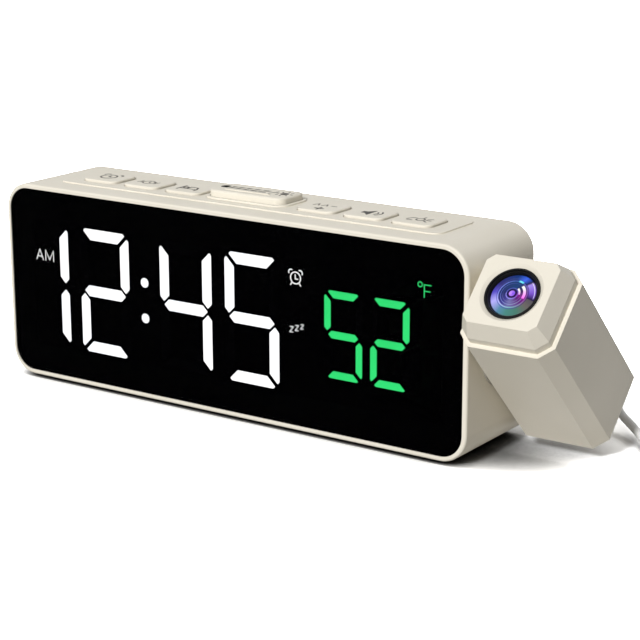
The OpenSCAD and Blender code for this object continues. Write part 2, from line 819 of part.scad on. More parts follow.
module temperature_sensor() {
    legs = 9;
    bead = 1.9;
    color("#3d2f24") case_frame() translate([vent_x, board_back, vent_z + 3]) {
        for (x = [-1, 1]) translate([x, 0, 0]) rotate([-90, 0, 0])
            cylinder(r = 0.35, h = legs + bead);
        translate([0, legs + bead, 0]) sphere(r = bead);
    }
}

module board_screws() {
    color(steel) case_frame() {
        at_corners(post_x, post_z) translate([0, board_back, 0]) screw(5.2, 2.2, 1);
        for (p = key_posts) translate([p[0], p[1], key_board_z]) rotate([-90, 0, 0])
            screw(5.2, 2.2, 1);
    }
}

// ---- keys ----

module key_board() {
    front = board_back + 1;
    half = key_post_end + post_r + 1;
    color(board_green) case_frame() difference() {
        translate([-half, front, key_board_z])
            cube([2 * half, key_post_rear + post_r + 0.8 - front, board_t]);
        for (p = key_posts) translate([p[0], p[1], key_board_z - overcut])
            cylinder(r = screw_r + 0.15, h = board_t + 2 * overcut);
    }
}

module key_switch() {
    translate([-switch_w / 2, -switch_w / 2, 0]) cube([switch_w, switch_w, switch_h]);
    translate([0, 0, switch_h]) cylinder(r = plunger_r, h = plunger_h);
}

module key_switches() {
    color("#28282c") case_frame() translate([0, 0, key_board_z + board_t]) {
        for (x = key_places) translate([x, key_y, 0]) key_switch();
        translate([bar_x, bar_y, 0]) key_switch();
    }
}

// Cap with a flange under the case's wall and a stem above the switch
module key_cap(w, d, r, top, e) {
    flange_z = wall_under - loose - flange_t;
    base = flange_z + flange_t / 2;
    translate([0, 0, base]) soft_slab(w, d, top - base, r, e);
    translate([0, 0, flange_z]) linear_extrude(flange_t)
        rrect(w + 2 * flange_out, d + 2 * flange_out, r);
    translate([0, 0, stem_end]) cylinder(r = stem_r, h = base - stem_end);
}

module top_key(i) {
    color(cream) case_frame() translate([key_places[i], key_y, 0])
        key_cap(key_w, key_d, key_corner, top_z + key_rise, key_round);
}

module alarm_key() { top_key(0); }
module time_key() { top_key(1); }
module nap_key() { top_key(2); }
module plus_key() { top_key(3); }
module volume_key() { top_key(4); }
module projection_key() { top_key(5); }

module snooze_bar() {
    bar_top = top_z + plinth_rise + bar_rise;
    color(cream) case_frame() translate([bar_x, bar_y, 0]) {
        key_cap(bar_w, bar_d, bar_corner, bar_top, bar_round);
        translate([-0.8, 3 - bar_d / 2, bar_top - 0.3])
            linear_extrude(0.55) rrect(bar_w * 0.6, 0.9, 0.44);
    }
}

// ---- pivot ----

// Lug along the shaft's lower side, grown by g: it locks the shaft in the head's wall and
// stops the tilt at both ends of the recess in the case's wall
module key_lug(l, g) {
    translate([-inner_face - l, -key_lug_w / 2 - g, -key_lug_r - g])
        cube([l + 0.5, key_lug_w + 2 * g, key_lug_r + g]);
}

module pivot_shaft() {
    color("#3b3d42") head_frame() difference() {
        union() {
            disc_x(-inner_face, shaft_flange_t, shaft_flange_r);
            disc_x(-shaft_end, shaft_end - inner_face + 0.1, pivot_r);
            key_lug(case_face + case_wall - 0.1 - inner_face, 0);
        }
        disc_x(-shaft_end - overcut, shaft_end + overcut, wire_way_r);
        disc_x(-clip_at - clip_t - fit, clip_t + 2 * fit, pivot_r + 1, groove_r);
    }
}

// Cone washer that presses on the case's boss
module spring_washer() {
    r = pivot_r + 0.1;
    color(steel) head_frame() translate([-boss_face - fit, 0, 0]) rotate([0, -90, 0])
        rotate_extrude() polygon([[r, spring_t - 0.4], [spring_r, 0], [spring_r, 0.4],
                                  [r, spring_t]]);
}

module retaining_ring() {
    color(steel) head_frame() difference() {
        disc_x(-clip_at - clip_t, clip_t, clip_r, groove_r + 0.02);
        translate([-clip_at - clip_t - overcut, -clip_gap / 2, -2 * clip_r])
            cube([clip_t + 2 * overcut, clip_gap, 2 * clip_r]);
    }
}

module pivot_washer() {
    color("#d9d6cc") case_frame() translate([head_x, pivot_y, pivot_h])
        disc_x(-case_face, washer_t, washer_r, recess_r);
}

// Quarter turn of wire from the origin along X to the +Y side
module wire_turn(bend, r = wire_r) {
    translate([0, bend, 0]) rotate([0, 0, -90]) rotate_extrude(angle = 90)
        translate([bend, 0]) circle(r);
}

// Wires that end on the main board; the pair in the shaft lies on its axis
module case_wires() {
    bend = 4;
    reach = shaft_end + 1.5;
    color(wire_grey) case_frame() {
        translate([head_x, pivot_y, pivot_h]) {
            disc_x(-reach, reach - wire_meet, wire_r);
            translate([-reach, 0, 0]) rotate([0, 0, 180]) wire_turn(bend);
            translate([-reach - bend, -bend, 0]) rotate([90, 0, 0])
                cylinder(r = wire_r, h = pivot_y - bend - board_back);
        }
        for (side = [-1, 1]) {
            board_wire(jack_x + 2 * side, jack_h, socket_y);
            board_wire(speaker_x + 2 * side, case_h / 2, cover_y - speaker_t);
            board_wire(battery_x + 3 * side, case_h / 2 - 12, cover_y - holder_t);
        }
    }
}

module board_wire(x, z, end) {
    translate([x, board_back, z]) rotate([-90, 0, 0]) cylinder(r = 0.6, h = end - board_back);
}

module head_wires() {
    bend = 2.3;
    led_board_top = led_board_z + board_t;
    color(wire_grey) head_frame() {
        translate([-wire_meet, 0, 0]) rotate([-90, 0, 0]) wire_turn(bend);
        translate([bend - wire_meet, 0, led_board_top])
            cylinder(r = wire_r, h = -bend - led_board_top);
    }
}

// ---- projector head ----

// Ribs inside the front and rear walls that carry the optics frame
module housing_ribs() {
    rib_w = 1.6;
    rib_out = 1.2;
    for (x = [-5, 5], side = [-1, 1])
        translate([x - rib_w / 2, side > 0 ? cavity_t / 2 - rib_out : -cavity_t / 2 - 0.5,
                   head_bottom + head_wall - 0.5])
            cube([rib_w, rib_out + 0.5, frame_z - head_bottom - head_wall + 0.5]);
}

module projector_housing() {
    color(cream) head_frame() {
        difference() {
            translate([0, 0, head_bottom]) linear_extrude(head_l)
                cut_rect(head_w, head_t, head_leg);
            translate([0, 0, head_bottom + head_wall]) linear_extrude(head_l)
                cut_rect(cavity_w, cavity_t, cavity_leg);
            disc_x(-head_w / 2 - overcut, head_wall + 2 * overcut, pivot_r + fit);
            key_lug(head_wall + overcut, fit);
        }
        housing_ribs();
    }
}

module projector_cap() {
    skirt = head_l / 2 - frame_top;
    wall = 1.6;
    color("#efe9db") head_frame() difference() {
        union() {
            translate([0, 0, frame_top]) linear_extrude(skirt + 0.1)
                cut_rect(cavity_w - 2 * fit, cavity_t - 2 * fit, cavity_leg);
            translate([0, 0, head_l / 2]) linear_extrude(neck_h)
                cut_rect(cap_w, cap_t, cap_leg);
            translate([0, 0, head_l / 2 + neck_h]) hull() {
                linear_extrude(0.01) cut_rect(cap_w, cap_t, cap_leg);
                translate([0, 0, taper_h - 0.01]) linear_extrude(0.01)
                    cut_rect(cap_w - 2 * taper_in, cap_t - 2 * taper_in, cap_top_leg);
            }
        }
        translate([0, 0, frame_top - overcut]) linear_extrude(skirt + overcut + 0.6)
            cut_rect(cavity_w - 2 * wall, cavity_t - 2 * wall, cavity_leg - 0.6 * wall);
        translate([0, 0, frame_top]) cylinder(r = barrel_out + fit, h = head_l);
        translate([0, 0, ring_z]) cylinder(r = ring_r + fit, h = 10);
        translate([0, 0, cap_top - 0.8])
            cylinder(r1 = ring_r + fit, r2 = ring_r + 1.1, h = 0.81);
    }
}

module lens_ring() {
    lip = 5.7;
    seat = lens_r + 0.1;
    color(black) head_frame() translate([0, 0, ring_z]) rotate_extrude()
        polygon([[lip, 0], [ring_r, 0], [ring_r, ring_h], [ring_r - 0.5, ring_h],
                 [ring_r - 0.6, ring_h - 0.4], [ring_r - 0.9, ring_h - 0.4],
                 [seat, ring_h - 1.2], [seat, 1], [lip, 1]]);
}

module front_lens() {
    color([0.25, 0.3, 0.75, 0.6]) head_frame() translate([0, 0, ring_z + 1])
        dome_lens(lens_r, 0.4, 1.1);
}

module lens_barrel() {
    color(black) head_frame() translate([0, 0, barrel_z]) difference() {
        cylinder(r = barrel_out, h = ring_z - barrel_z);
        translate([0, 0, -overcut]) cylinder(r = rear_lens_r - 0.55, h = head_l);
        translate([0, 0, 1.5]) cylinder(r = rear_lens_r + fit, h = head_l);
    }
}

module rear_lens() {
    color([0.8, 0.88, 0.95, 0.5]) head_frame() translate([0, 0, barrel_z + 1.5])
        dome_lens(rear_lens_r, 0.8, 1.6);
}

module optics_frame() {
    color("#26262a") head_frame() difference() {
        translate([0, 0, frame_z]) linear_extrude(frame_top - frame_z)
            cut_rect(cavity_w - 2 * fit, cavity_t - 2 * fit, cavity_leg);
        translate([0, 0, frame_z - overcut]) cylinder(r = light_r, h = head_l);
        translate([0, 0, frame_z - overcut]) cylinder(r = condenser_r + 0.1, h = 1.8 + overcut);
        translate([0, 0, panel_z]) linear_extrude(panel_t)
            square([panel_w + 0.2, 2 * head_t], center = true);
        translate([0, 0, barrel_z]) cylinder(r = barrel_out + fit, h = 20);
    }
}

module image_panel() {
    color([0.5, 0.6, 0.6, 0.6]) head_frame() translate([0, 0, panel_z])
        linear_extrude(panel_t) square([panel_w, panel_h], center = true);
}

module condenser_lens() {
    color([0.85, 0.9, 0.95, 0.5]) head_frame() translate([0, 0, frame_z])
        dome_lens(condenser_r, 1.2, 2);
}

module projector_board() {
    color(board_green) head_frame() translate([0, 0, led_board_z]) linear_extrude(board_t)
        cut_rect(cavity_w - 0.4, cavity_t - 2.8, 1.2);
}

module projector_led() {
    color("#f4f0dc") head_frame() translate([0, 0, led_board_z + board_t]) {
        linear_extrude(1) square(5, center = true);
        translate([0, 0, 1]) intersection() {
            sphere(r = 2);
            cylinder(r = 2, h = 2);
        }
    }
}

// ---- power lead ----

module plug_barrel() {
    color(steel) case_frame() translate([jack_x, plug_y, jack_h]) rotate([90, 0, 0])
        difference() {
            cylinder(r = barrel_r, h = 10.5);
            translate([0, 0, 1]) cylinder(r = pin_r + 0.15, h = 10.5);
        }
}

module power_plug() {
    color("#ecebe6") case_frame() translate([jack_x, plug_y, jack_h]) rotate([-90, 0, 0]) {
        cylinder(r = 4, h = plug_l);
        translate([0, 0, plug_l])
            cylinder(r1 = 2.9, r2 = lead_d / 2 + 0.5, h = relief_l);
    }
}

// Curve through points p: each span is a cubic set by the points on either side
function curve(p, steps) = [
    for (i = [1:len(p) - 3], k = [0:(i == len(p) - 3 ? steps : steps - 1)])
        let (u = k / steps)
        0.5 * (2 * p[i] + u * (p[i + 1] - p[i - 1])
               + u * u * (2 * p[i - 1] - 5 * p[i] + 4 * p[i + 1] - p[i + 2])
               + u * u * u * (3 * p[i] - p[i - 1] - 3 * p[i + 1] + p[i + 2]))];

// Round cord along the points of c
module cord(c, r, sides = 8) {
    n = len(c);
    rings = [for (i = [0:n - 1])
        let (d = c[min(i + 1, n - 1)] - c[max(i - 1, 0)],
             ahead = d / norm(d),
             side = cross(ahead, [0, 0, 1]),
             a = side / norm(side),
             b = cross(a, ahead))
        for (k = [0:sides - 1]) c[i] + r * (cos(360 * k / sides) * a + sin(360 * k / sides) * b)];
    skin = [for (i = [0:n - 2], k = [0:sides - 1])
        let (q = i * sides, m = (k + 1) % sides)
        each [[q + k, q + m, q + sides + m], [q + k, q + sides + m, q + sides + k]]];
    polyhedron(rings, concat(skin, [[for (k = [sides - 1:-1:0]) k]],
                             [[for (k = [0:sides - 1]) (n - 1) * sides + k]]));
}

module power_lead() {
    start = plug_y + plug_l + relief_l;
    path = [for (p = lead_route)
        [jack_x + p[0], start + p[1], rest_z + p[2] * (jack_h - rest_z)]];
    color("#ecebe6") case_frame() cord(curve(path, 4), lead_d / 2);
}

module power_lead_coil() {
    band = coil_rows * lead_d + 0.1;
    color("#ecebe6") case_frame() translate([coil_x, coil_y, -foot_h]) rotate_extrude()
        translate([coil_d / 2, band / 2]) rrect(band, band, lead_d / 2);
}

module power_lead_tail() {
    top = rest_z + (coil_rows - 1) * lead_d;
    from = [coil_x + 0.866 * coil_outer, coil_y + 0.5 * coil_outer];
    to = [usb_x, usb_y - fit / 2];
    low = usb_h / 2 - foot_h;
    path = [for (p = tail_route)
        [from[0] + p[0] * (to[0] - from[0]), from[1] + p[1] * (to[1] - from[1]),
         low + p[2] * (top - low)]];
    color("#ecebe6") case_frame() cord(curve(path, 4), lead_d / 2);
}

module usb_plug() {
    color("#ecebe6") case_frame() translate([usb_x, usb_y, -foot_h]) {
        translate([-usb_w / 2, 0, 0]) cube([usb_w, usb_l, usb_h]);
        translate([-usb_shell_w / 2, usb_l, (usb_h - usb_shell_h) / 2]) difference() {
            cube([usb_shell_w, usb_shell_w, usb_shell_h]);
            translate([1, 1, 1] * usb_shell_t)
                cube([usb_shell_w - 2 * usb_shell_t, usb_shell_w,
                      usb_shell_h - 2 * usb_shell_t]);
        }
        translate([-usb_w / 2, usb_l, usb_h / 2 - 0.2]) cube([usb_w, usb_w, 1.8]);
    }
}

// ---- which node to draw ----

case_shell();
rear_cover();
rubber_feet();
case_screws();
display_window();
light_box();
hour_tens_digit();
hour_ones_digit();
minute_tens_digit();
minute_ones_digit();
temperature_tens_digit();
temperature_ones_digit();
colon_dots();
indicator_windows();
main_board();
display_leds();
control_chip();
board_screws();
key_board();
key_switches();
alarm_key();
time_key();
nap_key();
snooze_bar();
plus_key();
volume_key();
projection_key();
speaker_basket();
speaker_cone();
speaker_magnet();
battery_holder();
battery_contacts();
coin_cell();
battery_door();
battery_door_screw();
temperature_sensor();
power_socket();
pivot_washer();
case_wires();
projector_housing();
projector_cap();
lens_ring();
front_lens();
lens_barrel();
rear_lens();
optics_frame();
image_panel();
condenser_lens();
projector_board();
projector_led();
pivot_shaft();
spring_washer();
retaining_ring();
head_wires();
plug_barrel();
power_plug();
power_lead();
power_lead_coil();
power_lead_tail();
usb_plug();
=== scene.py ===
import json

import bmesh
import bpy
import numpy as np
from mathutils import Matrix


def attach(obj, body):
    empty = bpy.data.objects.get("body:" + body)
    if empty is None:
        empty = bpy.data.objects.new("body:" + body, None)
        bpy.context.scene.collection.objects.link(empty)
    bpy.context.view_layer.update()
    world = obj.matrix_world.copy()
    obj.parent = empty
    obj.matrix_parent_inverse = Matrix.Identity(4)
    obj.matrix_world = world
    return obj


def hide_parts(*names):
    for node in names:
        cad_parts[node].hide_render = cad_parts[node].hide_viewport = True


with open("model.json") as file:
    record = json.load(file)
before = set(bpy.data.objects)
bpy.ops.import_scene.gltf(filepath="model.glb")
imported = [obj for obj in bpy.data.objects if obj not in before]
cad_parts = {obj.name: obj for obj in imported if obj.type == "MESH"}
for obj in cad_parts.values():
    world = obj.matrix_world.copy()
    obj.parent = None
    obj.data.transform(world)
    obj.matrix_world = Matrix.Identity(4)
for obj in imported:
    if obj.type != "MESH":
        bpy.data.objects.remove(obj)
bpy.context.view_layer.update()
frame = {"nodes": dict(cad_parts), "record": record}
scene = bpy.context.scene
nodes = frame["nodes"]
mm = 0.001

# Corner of the case's own frame and the pivot of the projector head, in millimetres
casePlace = np.array([-14.8, -16.891, 1.1])
headPlace = np.array([85.0, 1.609, 31.2])
headTilt = np.radians(45)


def fromCase(points):
    # millimetres in the case's frame to metres in the model's frame
    return (np.asarray(points, float) + casePlace) * mm


def fromHead(points):
    # millimetres along the tilted head to metres: a turn about X, then the pivot's place
    x, y, z = np.asarray(points, float).T
    c, s = np.cos(headTilt), np.sin(headTilt)
    return (np.stack([x, c * y - s * z, s * y + c * z], -1) + headPlace) * mm


# The camera stands to the right of the clock and a little above it
camera = {
    "place": (0.320289, -0.450171, 0.177658),
    "azimuth": 34.63,      # degrees to the right of the case's front
    "elevation": 15.08,    # degrees above the table
    "roll": -0.134,
    "lens": 107.66,
    "sensor": 36,
}
lensData = bpy.data.cameras.new("camera")
lensData.lens = camera["lens"]
lensData.sensor_width = camera["sensor"]
lensData.clip_start = 0.01
viewer = bpy.data.objects.new("camera", lensData)
viewer.matrix_world = (Matrix.Translation(camera["place"])
                       @ Matrix.Rotation(np.radians(camera["azimuth"]), 4, "Z")
                       @ Matrix.Rotation(np.radians(90 - camera["elevation"]), 4, "X")
                       @ Matrix.Rotation(np.radians(camera["roll"]), 4, "Z"))
scene.collection.objects.link(viewer)
scene.camera = viewer
print("camera set")


def gridFaces(rows, columns, closed=True):
    # quads between neighbouring rows; closed joins the last column to the first
    r = np.arange(rows - 1)[:, None]
    c = np.arange(columns if closed else columns - 1)[None, :]
    n = (c + 1) % columns
    quads = np.stack([r * columns + c, (r + 1) * columns + c,
                      (r + 1) * columns + n, r * columns + n], -1)
    return quads.reshape(-1, 4).tolist()


def unit(rows):
    # each row divided by its own length
    return rows / np.linalg.norm(rows, axis=1, keepdims=True)


def tubeSurface(path, radii, sides):
    # a circle carried along the path, square to it, one of its radii kept level
    path = np.asarray(path, float)
    radii = np.broadcast_to(radii, len(path))[:, None, None]
    ahead = unit(np.gradient(path, axis=0))
    level = unit(np.cross(ahead, [0, 0, 1]))
    raised = np.cross(level, ahead)
    turn = np.linspace(0, 2 * np.pi, sides, endpoint=False)[None, :, None]
    rings = path[:, None] + radii * (np.cos(turn) * level[:, None] + np.sin(turn) * raised[:, None])
    faces = gridFaces(len(path), sides)
    last = (len(path) - 1) * sides
    faces += [list(range(sides)), [last + k for k in range(sides)][::-1]]
    return rings.reshape(-1, 3), faces


def latheSurface(profile, sides):
    # profile of (radius, height) points turned about the Z axis
    radius, height = np.asarray(profile, float).T[:, :, None]
    turn = np.linspace(0, 2 * np.pi, sides, endpoint=False)
    points = np.stack([radius * np.cos(turn), radius * np.sin(turn), height + 0 * turn], -1)
    return points.reshape(-1, 3), gridFaces(len(profile), sides)


def slabSurface(outline, low, high):
    # an outline in a plane, carried straight from low to high
    outline = np.asarray(outline, float)
    n = len(outline)
    points = np.concatenate([np.c_[outline, np.full(n, low)], np.c_[outline, np.full(n, high)]])
    faces = gridFaces(2, n) + [list(range(n)), list(range(n, 2 * n))[::-1]]
    return points, faces


def ribbonSurface(path, width, low, high, closed=False):
    # a rectangle carried along a flat path, its corners mitred at each bend
    path = np.asarray(path, float)
    if closed:
        step = np.roll(path, -1, 0) - path
        before, after = np.roll(step, 1, 0), step
    else:
        step = np.diff(path, axis=0)
        before, after = np.vstack([step[:1], step]), np.vstack([step, step[-1:]])
    after = unit(after)
    ahead = unit(unit(before) + after)
    aside = np.stack([-ahead[:, 1], ahead[:, 0]], -1)
    leastCosine = 0.45    # of half a bend, so that a sharp corner isn't drawn out to a spike
    aside *= width / 2 / np.maximum(leastCosine, (ahead * after).sum(1, keepdims=True))
    n = len(path)
    corners = [(path + aside, high), (path - aside, high), (path - aside, low), (path + aside, low)]
    points = np.stack([np.c_[p, np.full(n, h)] for p, h in corners], 1).reshape(-1, 3)
    faces = gridFaces(n, 4)
    last = 4 * (n - 1)
    if closed:
        faces += [[last + k, k, (k + 1) % 4, last + (k + 1) % 4] for k in range(4)]
    else:
        faces += [[3, 2, 1, 0], [last, last + 1, last + 2, last + 3]]
    return points, faces


def ribbons(lines, rings, width, low, high):
    # open lines and closed rings, each a ribbon of the same width
    return ([ribbonSurface(points, width, low, high) for points in lines]
            + [ribbonSurface(points, width, low, high, True) for points in rings])


def joinSurfaces(parts):
    # several surfaces as one, the later ones' point numbers moved up
    starts = np.cumsum([0] + [len(p) for p, _ in parts])
    faces = [[v + s for v in f] for (_, fs), s in zip(parts, starts.tolist()) for f in fs]
    return np.concatenate([p for p, _ in parts]), faces


def arc(x, y, r, start=0, end=360, steps=24):
    # points round a circle; the last one is left out where the circle is whole
    turn = np.radians(np.linspace(start, end, steps, endpoint=end - start < 360))
    return np.stack([x + r * np.cos(turn), y + r * np.sin(turn)], -1)


def roundedRect(w, h, r, steps=8):
    # outline from the middle of four corner arcs
    corners = [(w / 2 - r, h / 2 - r, 0), (r - w / 2, h / 2 - r, 90),
               (r - w / 2, r - h / 2, 180), (w / 2 - r, r - h / 2, 270)]
    return np.concatenate([arc(x, y, r, a, a + 90, steps) for x, y, a in corners])


meshing = {"merge": 2e-7, "crease": 32}    # metres between doubles, degrees at a sharp edge


def makePiece(name, surface, finishes, body, replaced=(), smooth=True):
    # a mesh at the origin with its points in metres, closed and facing outwards
    points, faces = surface
    mesh = bpy.data.meshes.new(name)
    mesh.from_pydata(np.asarray(points).tolist(), [], faces)
    work = bmesh.new()
    work.from_mesh(mesh)
    bmesh.ops.remove_doubles(work, verts=work.verts, dist=meshing["merge"])
    bmesh.ops.recalc_face_normals(work, faces=work.faces)
    work.to_mesh(mesh)
    work.free()
    mesh.polygons.foreach_set("use_smooth", [smooth] * len(mesh.polygons))
    for finish in finishes if isinstance(finishes, list) else [finishes]:
        mesh.materials.append(finish)
    if smooth:
        mesh.set_sharp_from_angle(angle=np.radians(meshing["crease"]))
    piece = bpy.data.objects.new(name, mesh)
    scene.collection.objects.link(piece)
    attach(piece, body)
    if replaced:
        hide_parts(*replaced)
    return piece


def linearColour(code):
    # sRGB hex value to the linear colour that a socket takes
    part = np.array([int(code[i:i + 2], 16) for i in (1, 3, 5)]) / 255
    line = np.where(part <= 0.04045, part / 12.92, ((part + 0.055) / 1.055) ** 2.4)
    return (*line.tolist(), 1.0)


def addNode(tree, kind, values=None, links=None, stops=None, **settings):
    # a node with its settings, socket values, incoming links and ramp stops
    node = tree.nodes.new(kind)
    for key, value in settings.items():
        setattr(node, key, value)
    for key, value in (values or {}).items():
        node.inputs[key].default_value = value
    for key, source in (links or {}).items():
        tree.links.new(source, node.inputs[key])
    if stops:
        ramp = node.color_ramp
        while len(ramp.elements) < len(stops):
            ramp.elements.new(0.5)
        for element, (place, code) in zip(ramp.elements, stops):
            element.position = place
            element.color = linearColour(code)
    return node


def startMaterial(name, values):
    # a material with one Principled shader, plain values set on its own sockets
    material = bpy.data.materials.new(name)
    material.use_nodes = True
    tree = material.node_tree
    shader = tree.nodes["Principled BSDF"]
    for key, value in values.items():
        shader.inputs[key].default_value = value
    return material, tree, shader


# What finishes of one kind share; gloss is how far roughness strays from its middle,
# and sizes of patterns and depths of bumps are in millimetres
moulded = {"ior": 1.53, "gloss": (-0.05, 0.07), "strength": 0.5}
plated = {"gloss": (-0.08, 0.1), "strength": 0.25, "depth": 0.01, "patch": 2.5}
# the insert's base colour is painted dark grey as the shade behind the window, though the insert is
# milky
unlit = {"colour": "#202020", "roughness": 0.5}    # a milky insert without its LED


def toneStops(look):
    # one colour up to 0.3 of the noise, the other from 0.7, and a blend between
    return [(0.3, look["shade"]), (0.7, look["colour"])]


def addRelief(tree, shader, look, patches, height):
    # roughness that strays with the patches, and bumps that follow the height
    least, most = (look["roughness"] + stray for stray in look["gloss"])
    gloss = addNode(tree, "ShaderNodeMapRange", {"To Min": least, "To Max": most},
                    {"Value": patches})
    bump = addNode(tree, "ShaderNodeBump",
                   {"Strength": look["strength"], "Distance": mm * look["depth"]},
                   {"Height": height})
    tree.links.new(gloss.outputs["Result"], shader.inputs["Roughness"])
    tree.links.new(bump.outputs["Normal"], shader.inputs["Normal"])


def mouldedPlastic(name, look):
    # Injection-moulded plastic: slow drift of tone from flow, and a fine spark-eroded grain.
    # A real grain of 0.1 mm wouldn't show, so it is drawn at 0.3 to 1 mm.
    look = {**moulded, **look}
    material, tree, shader = startMaterial(name, {
        "Roughness": look["roughness"], "IOR": look["ior"],
        "Specular IOR Level": look["specular"]})
    place = addNode(tree, "ShaderNodeTexCoord").outputs["Object"]
    drift = addNode(tree, "ShaderNodeTexNoise", {"Scale": 1 / mm / look["drift"], "Detail": 2.0},
                    {"Vector": place})
    tone = addNode(tree, "ShaderNodeValToRGB", links={"Fac": drift.outputs["Fac"]},
                   stops=toneStops(look))
    tree.links.new(tone.outputs["Color"], shader.inputs["Base Color"])
    grain = addNode(tree, "ShaderNodeTexNoise",
                    {"Scale": 1 / mm / look["grain"], "Detail": 3.0, "Roughness": 0.6},
                    {"Vector": place})
    addRelief(tree, shader, look, grain.outputs["Fac"], grain.outputs["Fac"])
    return material


def platedMetal(name, look):
    # Rolled or turned metal: drawn lines along one way, and dull patches where it was handled.
    # Real lines wouldn't show, so they are a few tenths of a millimetre apart.
    look = {**plated, **look}
    material, tree, shader = startMaterial(name, {"Metallic": 1.0})
    place = addNode(tree, "ShaderNodeTexCoord").outputs["Object"]
    stretch = addNode(tree, "ShaderNodeMapping", {"Scale": look["lines"]}, {"Vector": place})
    lines = addNode(tree, "ShaderNodeTexNoise", {"Scale": 1 / mm / look["pitch"], "Detail": 2.0},
                    {"Vector": stretch.outputs["Vector"]})
    tone = addNode(tree, "ShaderNodeValToRGB", links={"Fac": lines.outputs["Fac"]},
                   stops=toneStops(look))
    tree.links.new(tone.outputs["Color"], shader.inputs["Base Color"])
    patches = addNode(tree, "ShaderNodeTexNoise", {"Scale": 1 / mm / look["patch"], "Detail": 3.0},
                      {"Vector": place})
    addRelief(tree, shader, look, patches.outputs["Fac"], lines.outputs["Fac"])
    return material


def clearPlastic(name, look):
    # Polished clear resin: sharp gloss, faint flow lines, part of the light passes
    material, tree, shader = startMaterial(name, {
        "Roughness": look["roughness"], "Alpha": look["alpha"], "IOR": look["ior"],
        "Specular IOR Level": look["specular"]})
    place = addNode(tree, "ShaderNodeTexCoord").outputs["Object"]
    flow = addNode(tree, "ShaderNodeTexNoise", {"Scale": 1 / mm / look["flow"], "Detail": 1.0},
                   {"Vector": place})
    tone = addNode(tree, "ShaderNodeValToRGB", links={"Fac": flow.outputs["Fac"]},
                   stops=toneStops(look))
    tree.links.new(tone.outputs["Color"], shader.inputs["Base Color"])
    return material


def circuitBoard(name, look):
    # Epoxy-glass board under solder mask: raised tracks show as paler lines in square runs,
    # which lie about halfway from the middle of each cell
    material, tree, shader = startMaterial(name, {
        "Roughness": look["roughness"], "Specular IOR Level": look["specular"]})
    place = addNode(tree, "ShaderNodeTexCoord").outputs["Object"]
    tracks = addNode(tree, "ShaderNodeTexVoronoi", {"Scale": 1 / mm / look["pitch"]},
                     {"Vector": place}, distance="CHEBYCHEV", feature="F1")
    tone = addNode(tree, "ShaderNodeValToRGB", links={"Fac": tracks.outputs["Distance"]},
                   stops=[(0.42, look["colour"]), (0.46, look["track"]), (0.54, look["track"]),
                          (0.58, look["colour"])])
    tree.links.new(tone.outputs["Color"], shader.inputs["Base Color"])
    bump = addNode(tree, "ShaderNodeBump",
                   {"Strength": look["strength"], "Distance": mm * look["depth"]},
                   {"Height": tone.outputs["Color"]})
    tree.links.new(bump.outputs["Normal"], shader.inputs["Normal"])
    return material


def glowingPlastic(name, look):
    # Milky insert lit by the LED behind it: its glow drifts a little across it
    material, tree, shader = startMaterial(name, {
        "Roughness": unlit["roughness"], "Base Color": linearColour(unlit["colour"]),
        "Emission Strength": look["strength"]})
    place = addNode(tree, "ShaderNodeTexCoord").outputs["Object"]
    spread = addNode(tree, "ShaderNodeTexNoise", {"Scale": 1 / mm / look["spread"], "Detail": 0.0},
                     {"Vector": place})
    tone = addNode(tree, "ShaderNodeValToRGB", links={"Fac": spread.outputs["Fac"]},
                   stops=[(0.25, look["shade"]), (0.6, look["colour"])])
    tree.links.new(tone.outputs["Color"], shader.inputs["Emission Color"])
    return material


print("shapes and finishes ready")

# ABS in ivory, moulded against a satin-etched tool: soft sheen, almost no grain to see
ivoryAbs = mouldedPlastic("ivoryAbs", {
    "colour": "#e9e3d5", "shade": "#e4decf", "roughness": 0.45, "specular": 0.22,
    "drift": 30, "grain": 0.5, "depth": 0.012})
# Natural rubber feet, pressed in a plain mould: dull, dark, a little dusty
footRubber = mouldedPlastic("footRubber", {
    "colour": "#4a4743", "shade": "#3a3835", "roughness": 0.8, "specular": 0.25,
    "drift": 4, "grain": 0.6, "depth": 0.05})
# Black ABS of the battery holder and optics frame: matt, so no light strays
blackAbs = mouldedPlastic("blackAbs", {
    "colour": "#0b0b0c", "shade": "#08080a", "roughness": 0.55, "specular": 0.2,
    "drift": 10, "grain": 0.5, "depth": 0.02})
# The same under flock paint, inside the light box: no shine at all
flockBlack = mouldedPlastic("flockBlack", {
    "colour": "#020202", "shade": "#010101", "roughness": 0.9, "specular": 0.0,
    "drift": 10, "grain": 0.5, "depth": 0.02})
# Black glass-filled nylon of the lens ring and barrel, moulded: satin, with a shiny edge
lensBlack = mouldedPlastic("lensBlack", {
    "colour": "#0c0c0d", "shade": "#080809", "roughness": 0.34, "specular": 0.14,
    "drift": 6, "grain": 0.4, "depth": 0.01})
# Moulded acetal of the pivot and the USB tongue: waxy, greyish, slippery
paleAcetal = mouldedPlastic("paleAcetal", {
    "colour": "#a8a398", "shade": "#9d988c", "roughness": 0.45, "specular": 0.3,
    "drift": 8, "grain": 0.7, "depth": 0.01})
# Soft PVC of the lead, extruded: clean white with a dull sheen
leadPvc = mouldedPlastic("leadPvc", {
    "colour": "#fbfaf8", "shade": "#f4f3f0", "roughness": 0.38, "specular": 0.45,
    "drift": 10, "grain": 0.9, "depth": 0.02})
# Silicone sleeve of the inner wires, extruded: dark and soft, hardly any sheen
wireSleeve = mouldedPlastic("wireSleeve", {
    "colour": "#2a2a2d", "shade": "#1e1e21", "roughness": 0.6, "specular": 0.3,
    "drift": 5, "grain": 0.6, "depth": 0.02})
# Moulded epoxy of the chip, switches and power socket: black with a slight sheen
chipEpoxy = mouldedPlastic("chipEpoxy", {
    "colour": "#1c1c1f", "shade": "#141416", "roughness": 0.5, "specular": 0.35,
    "drift": 3, "grain": 0.3, "depth": 0.02})
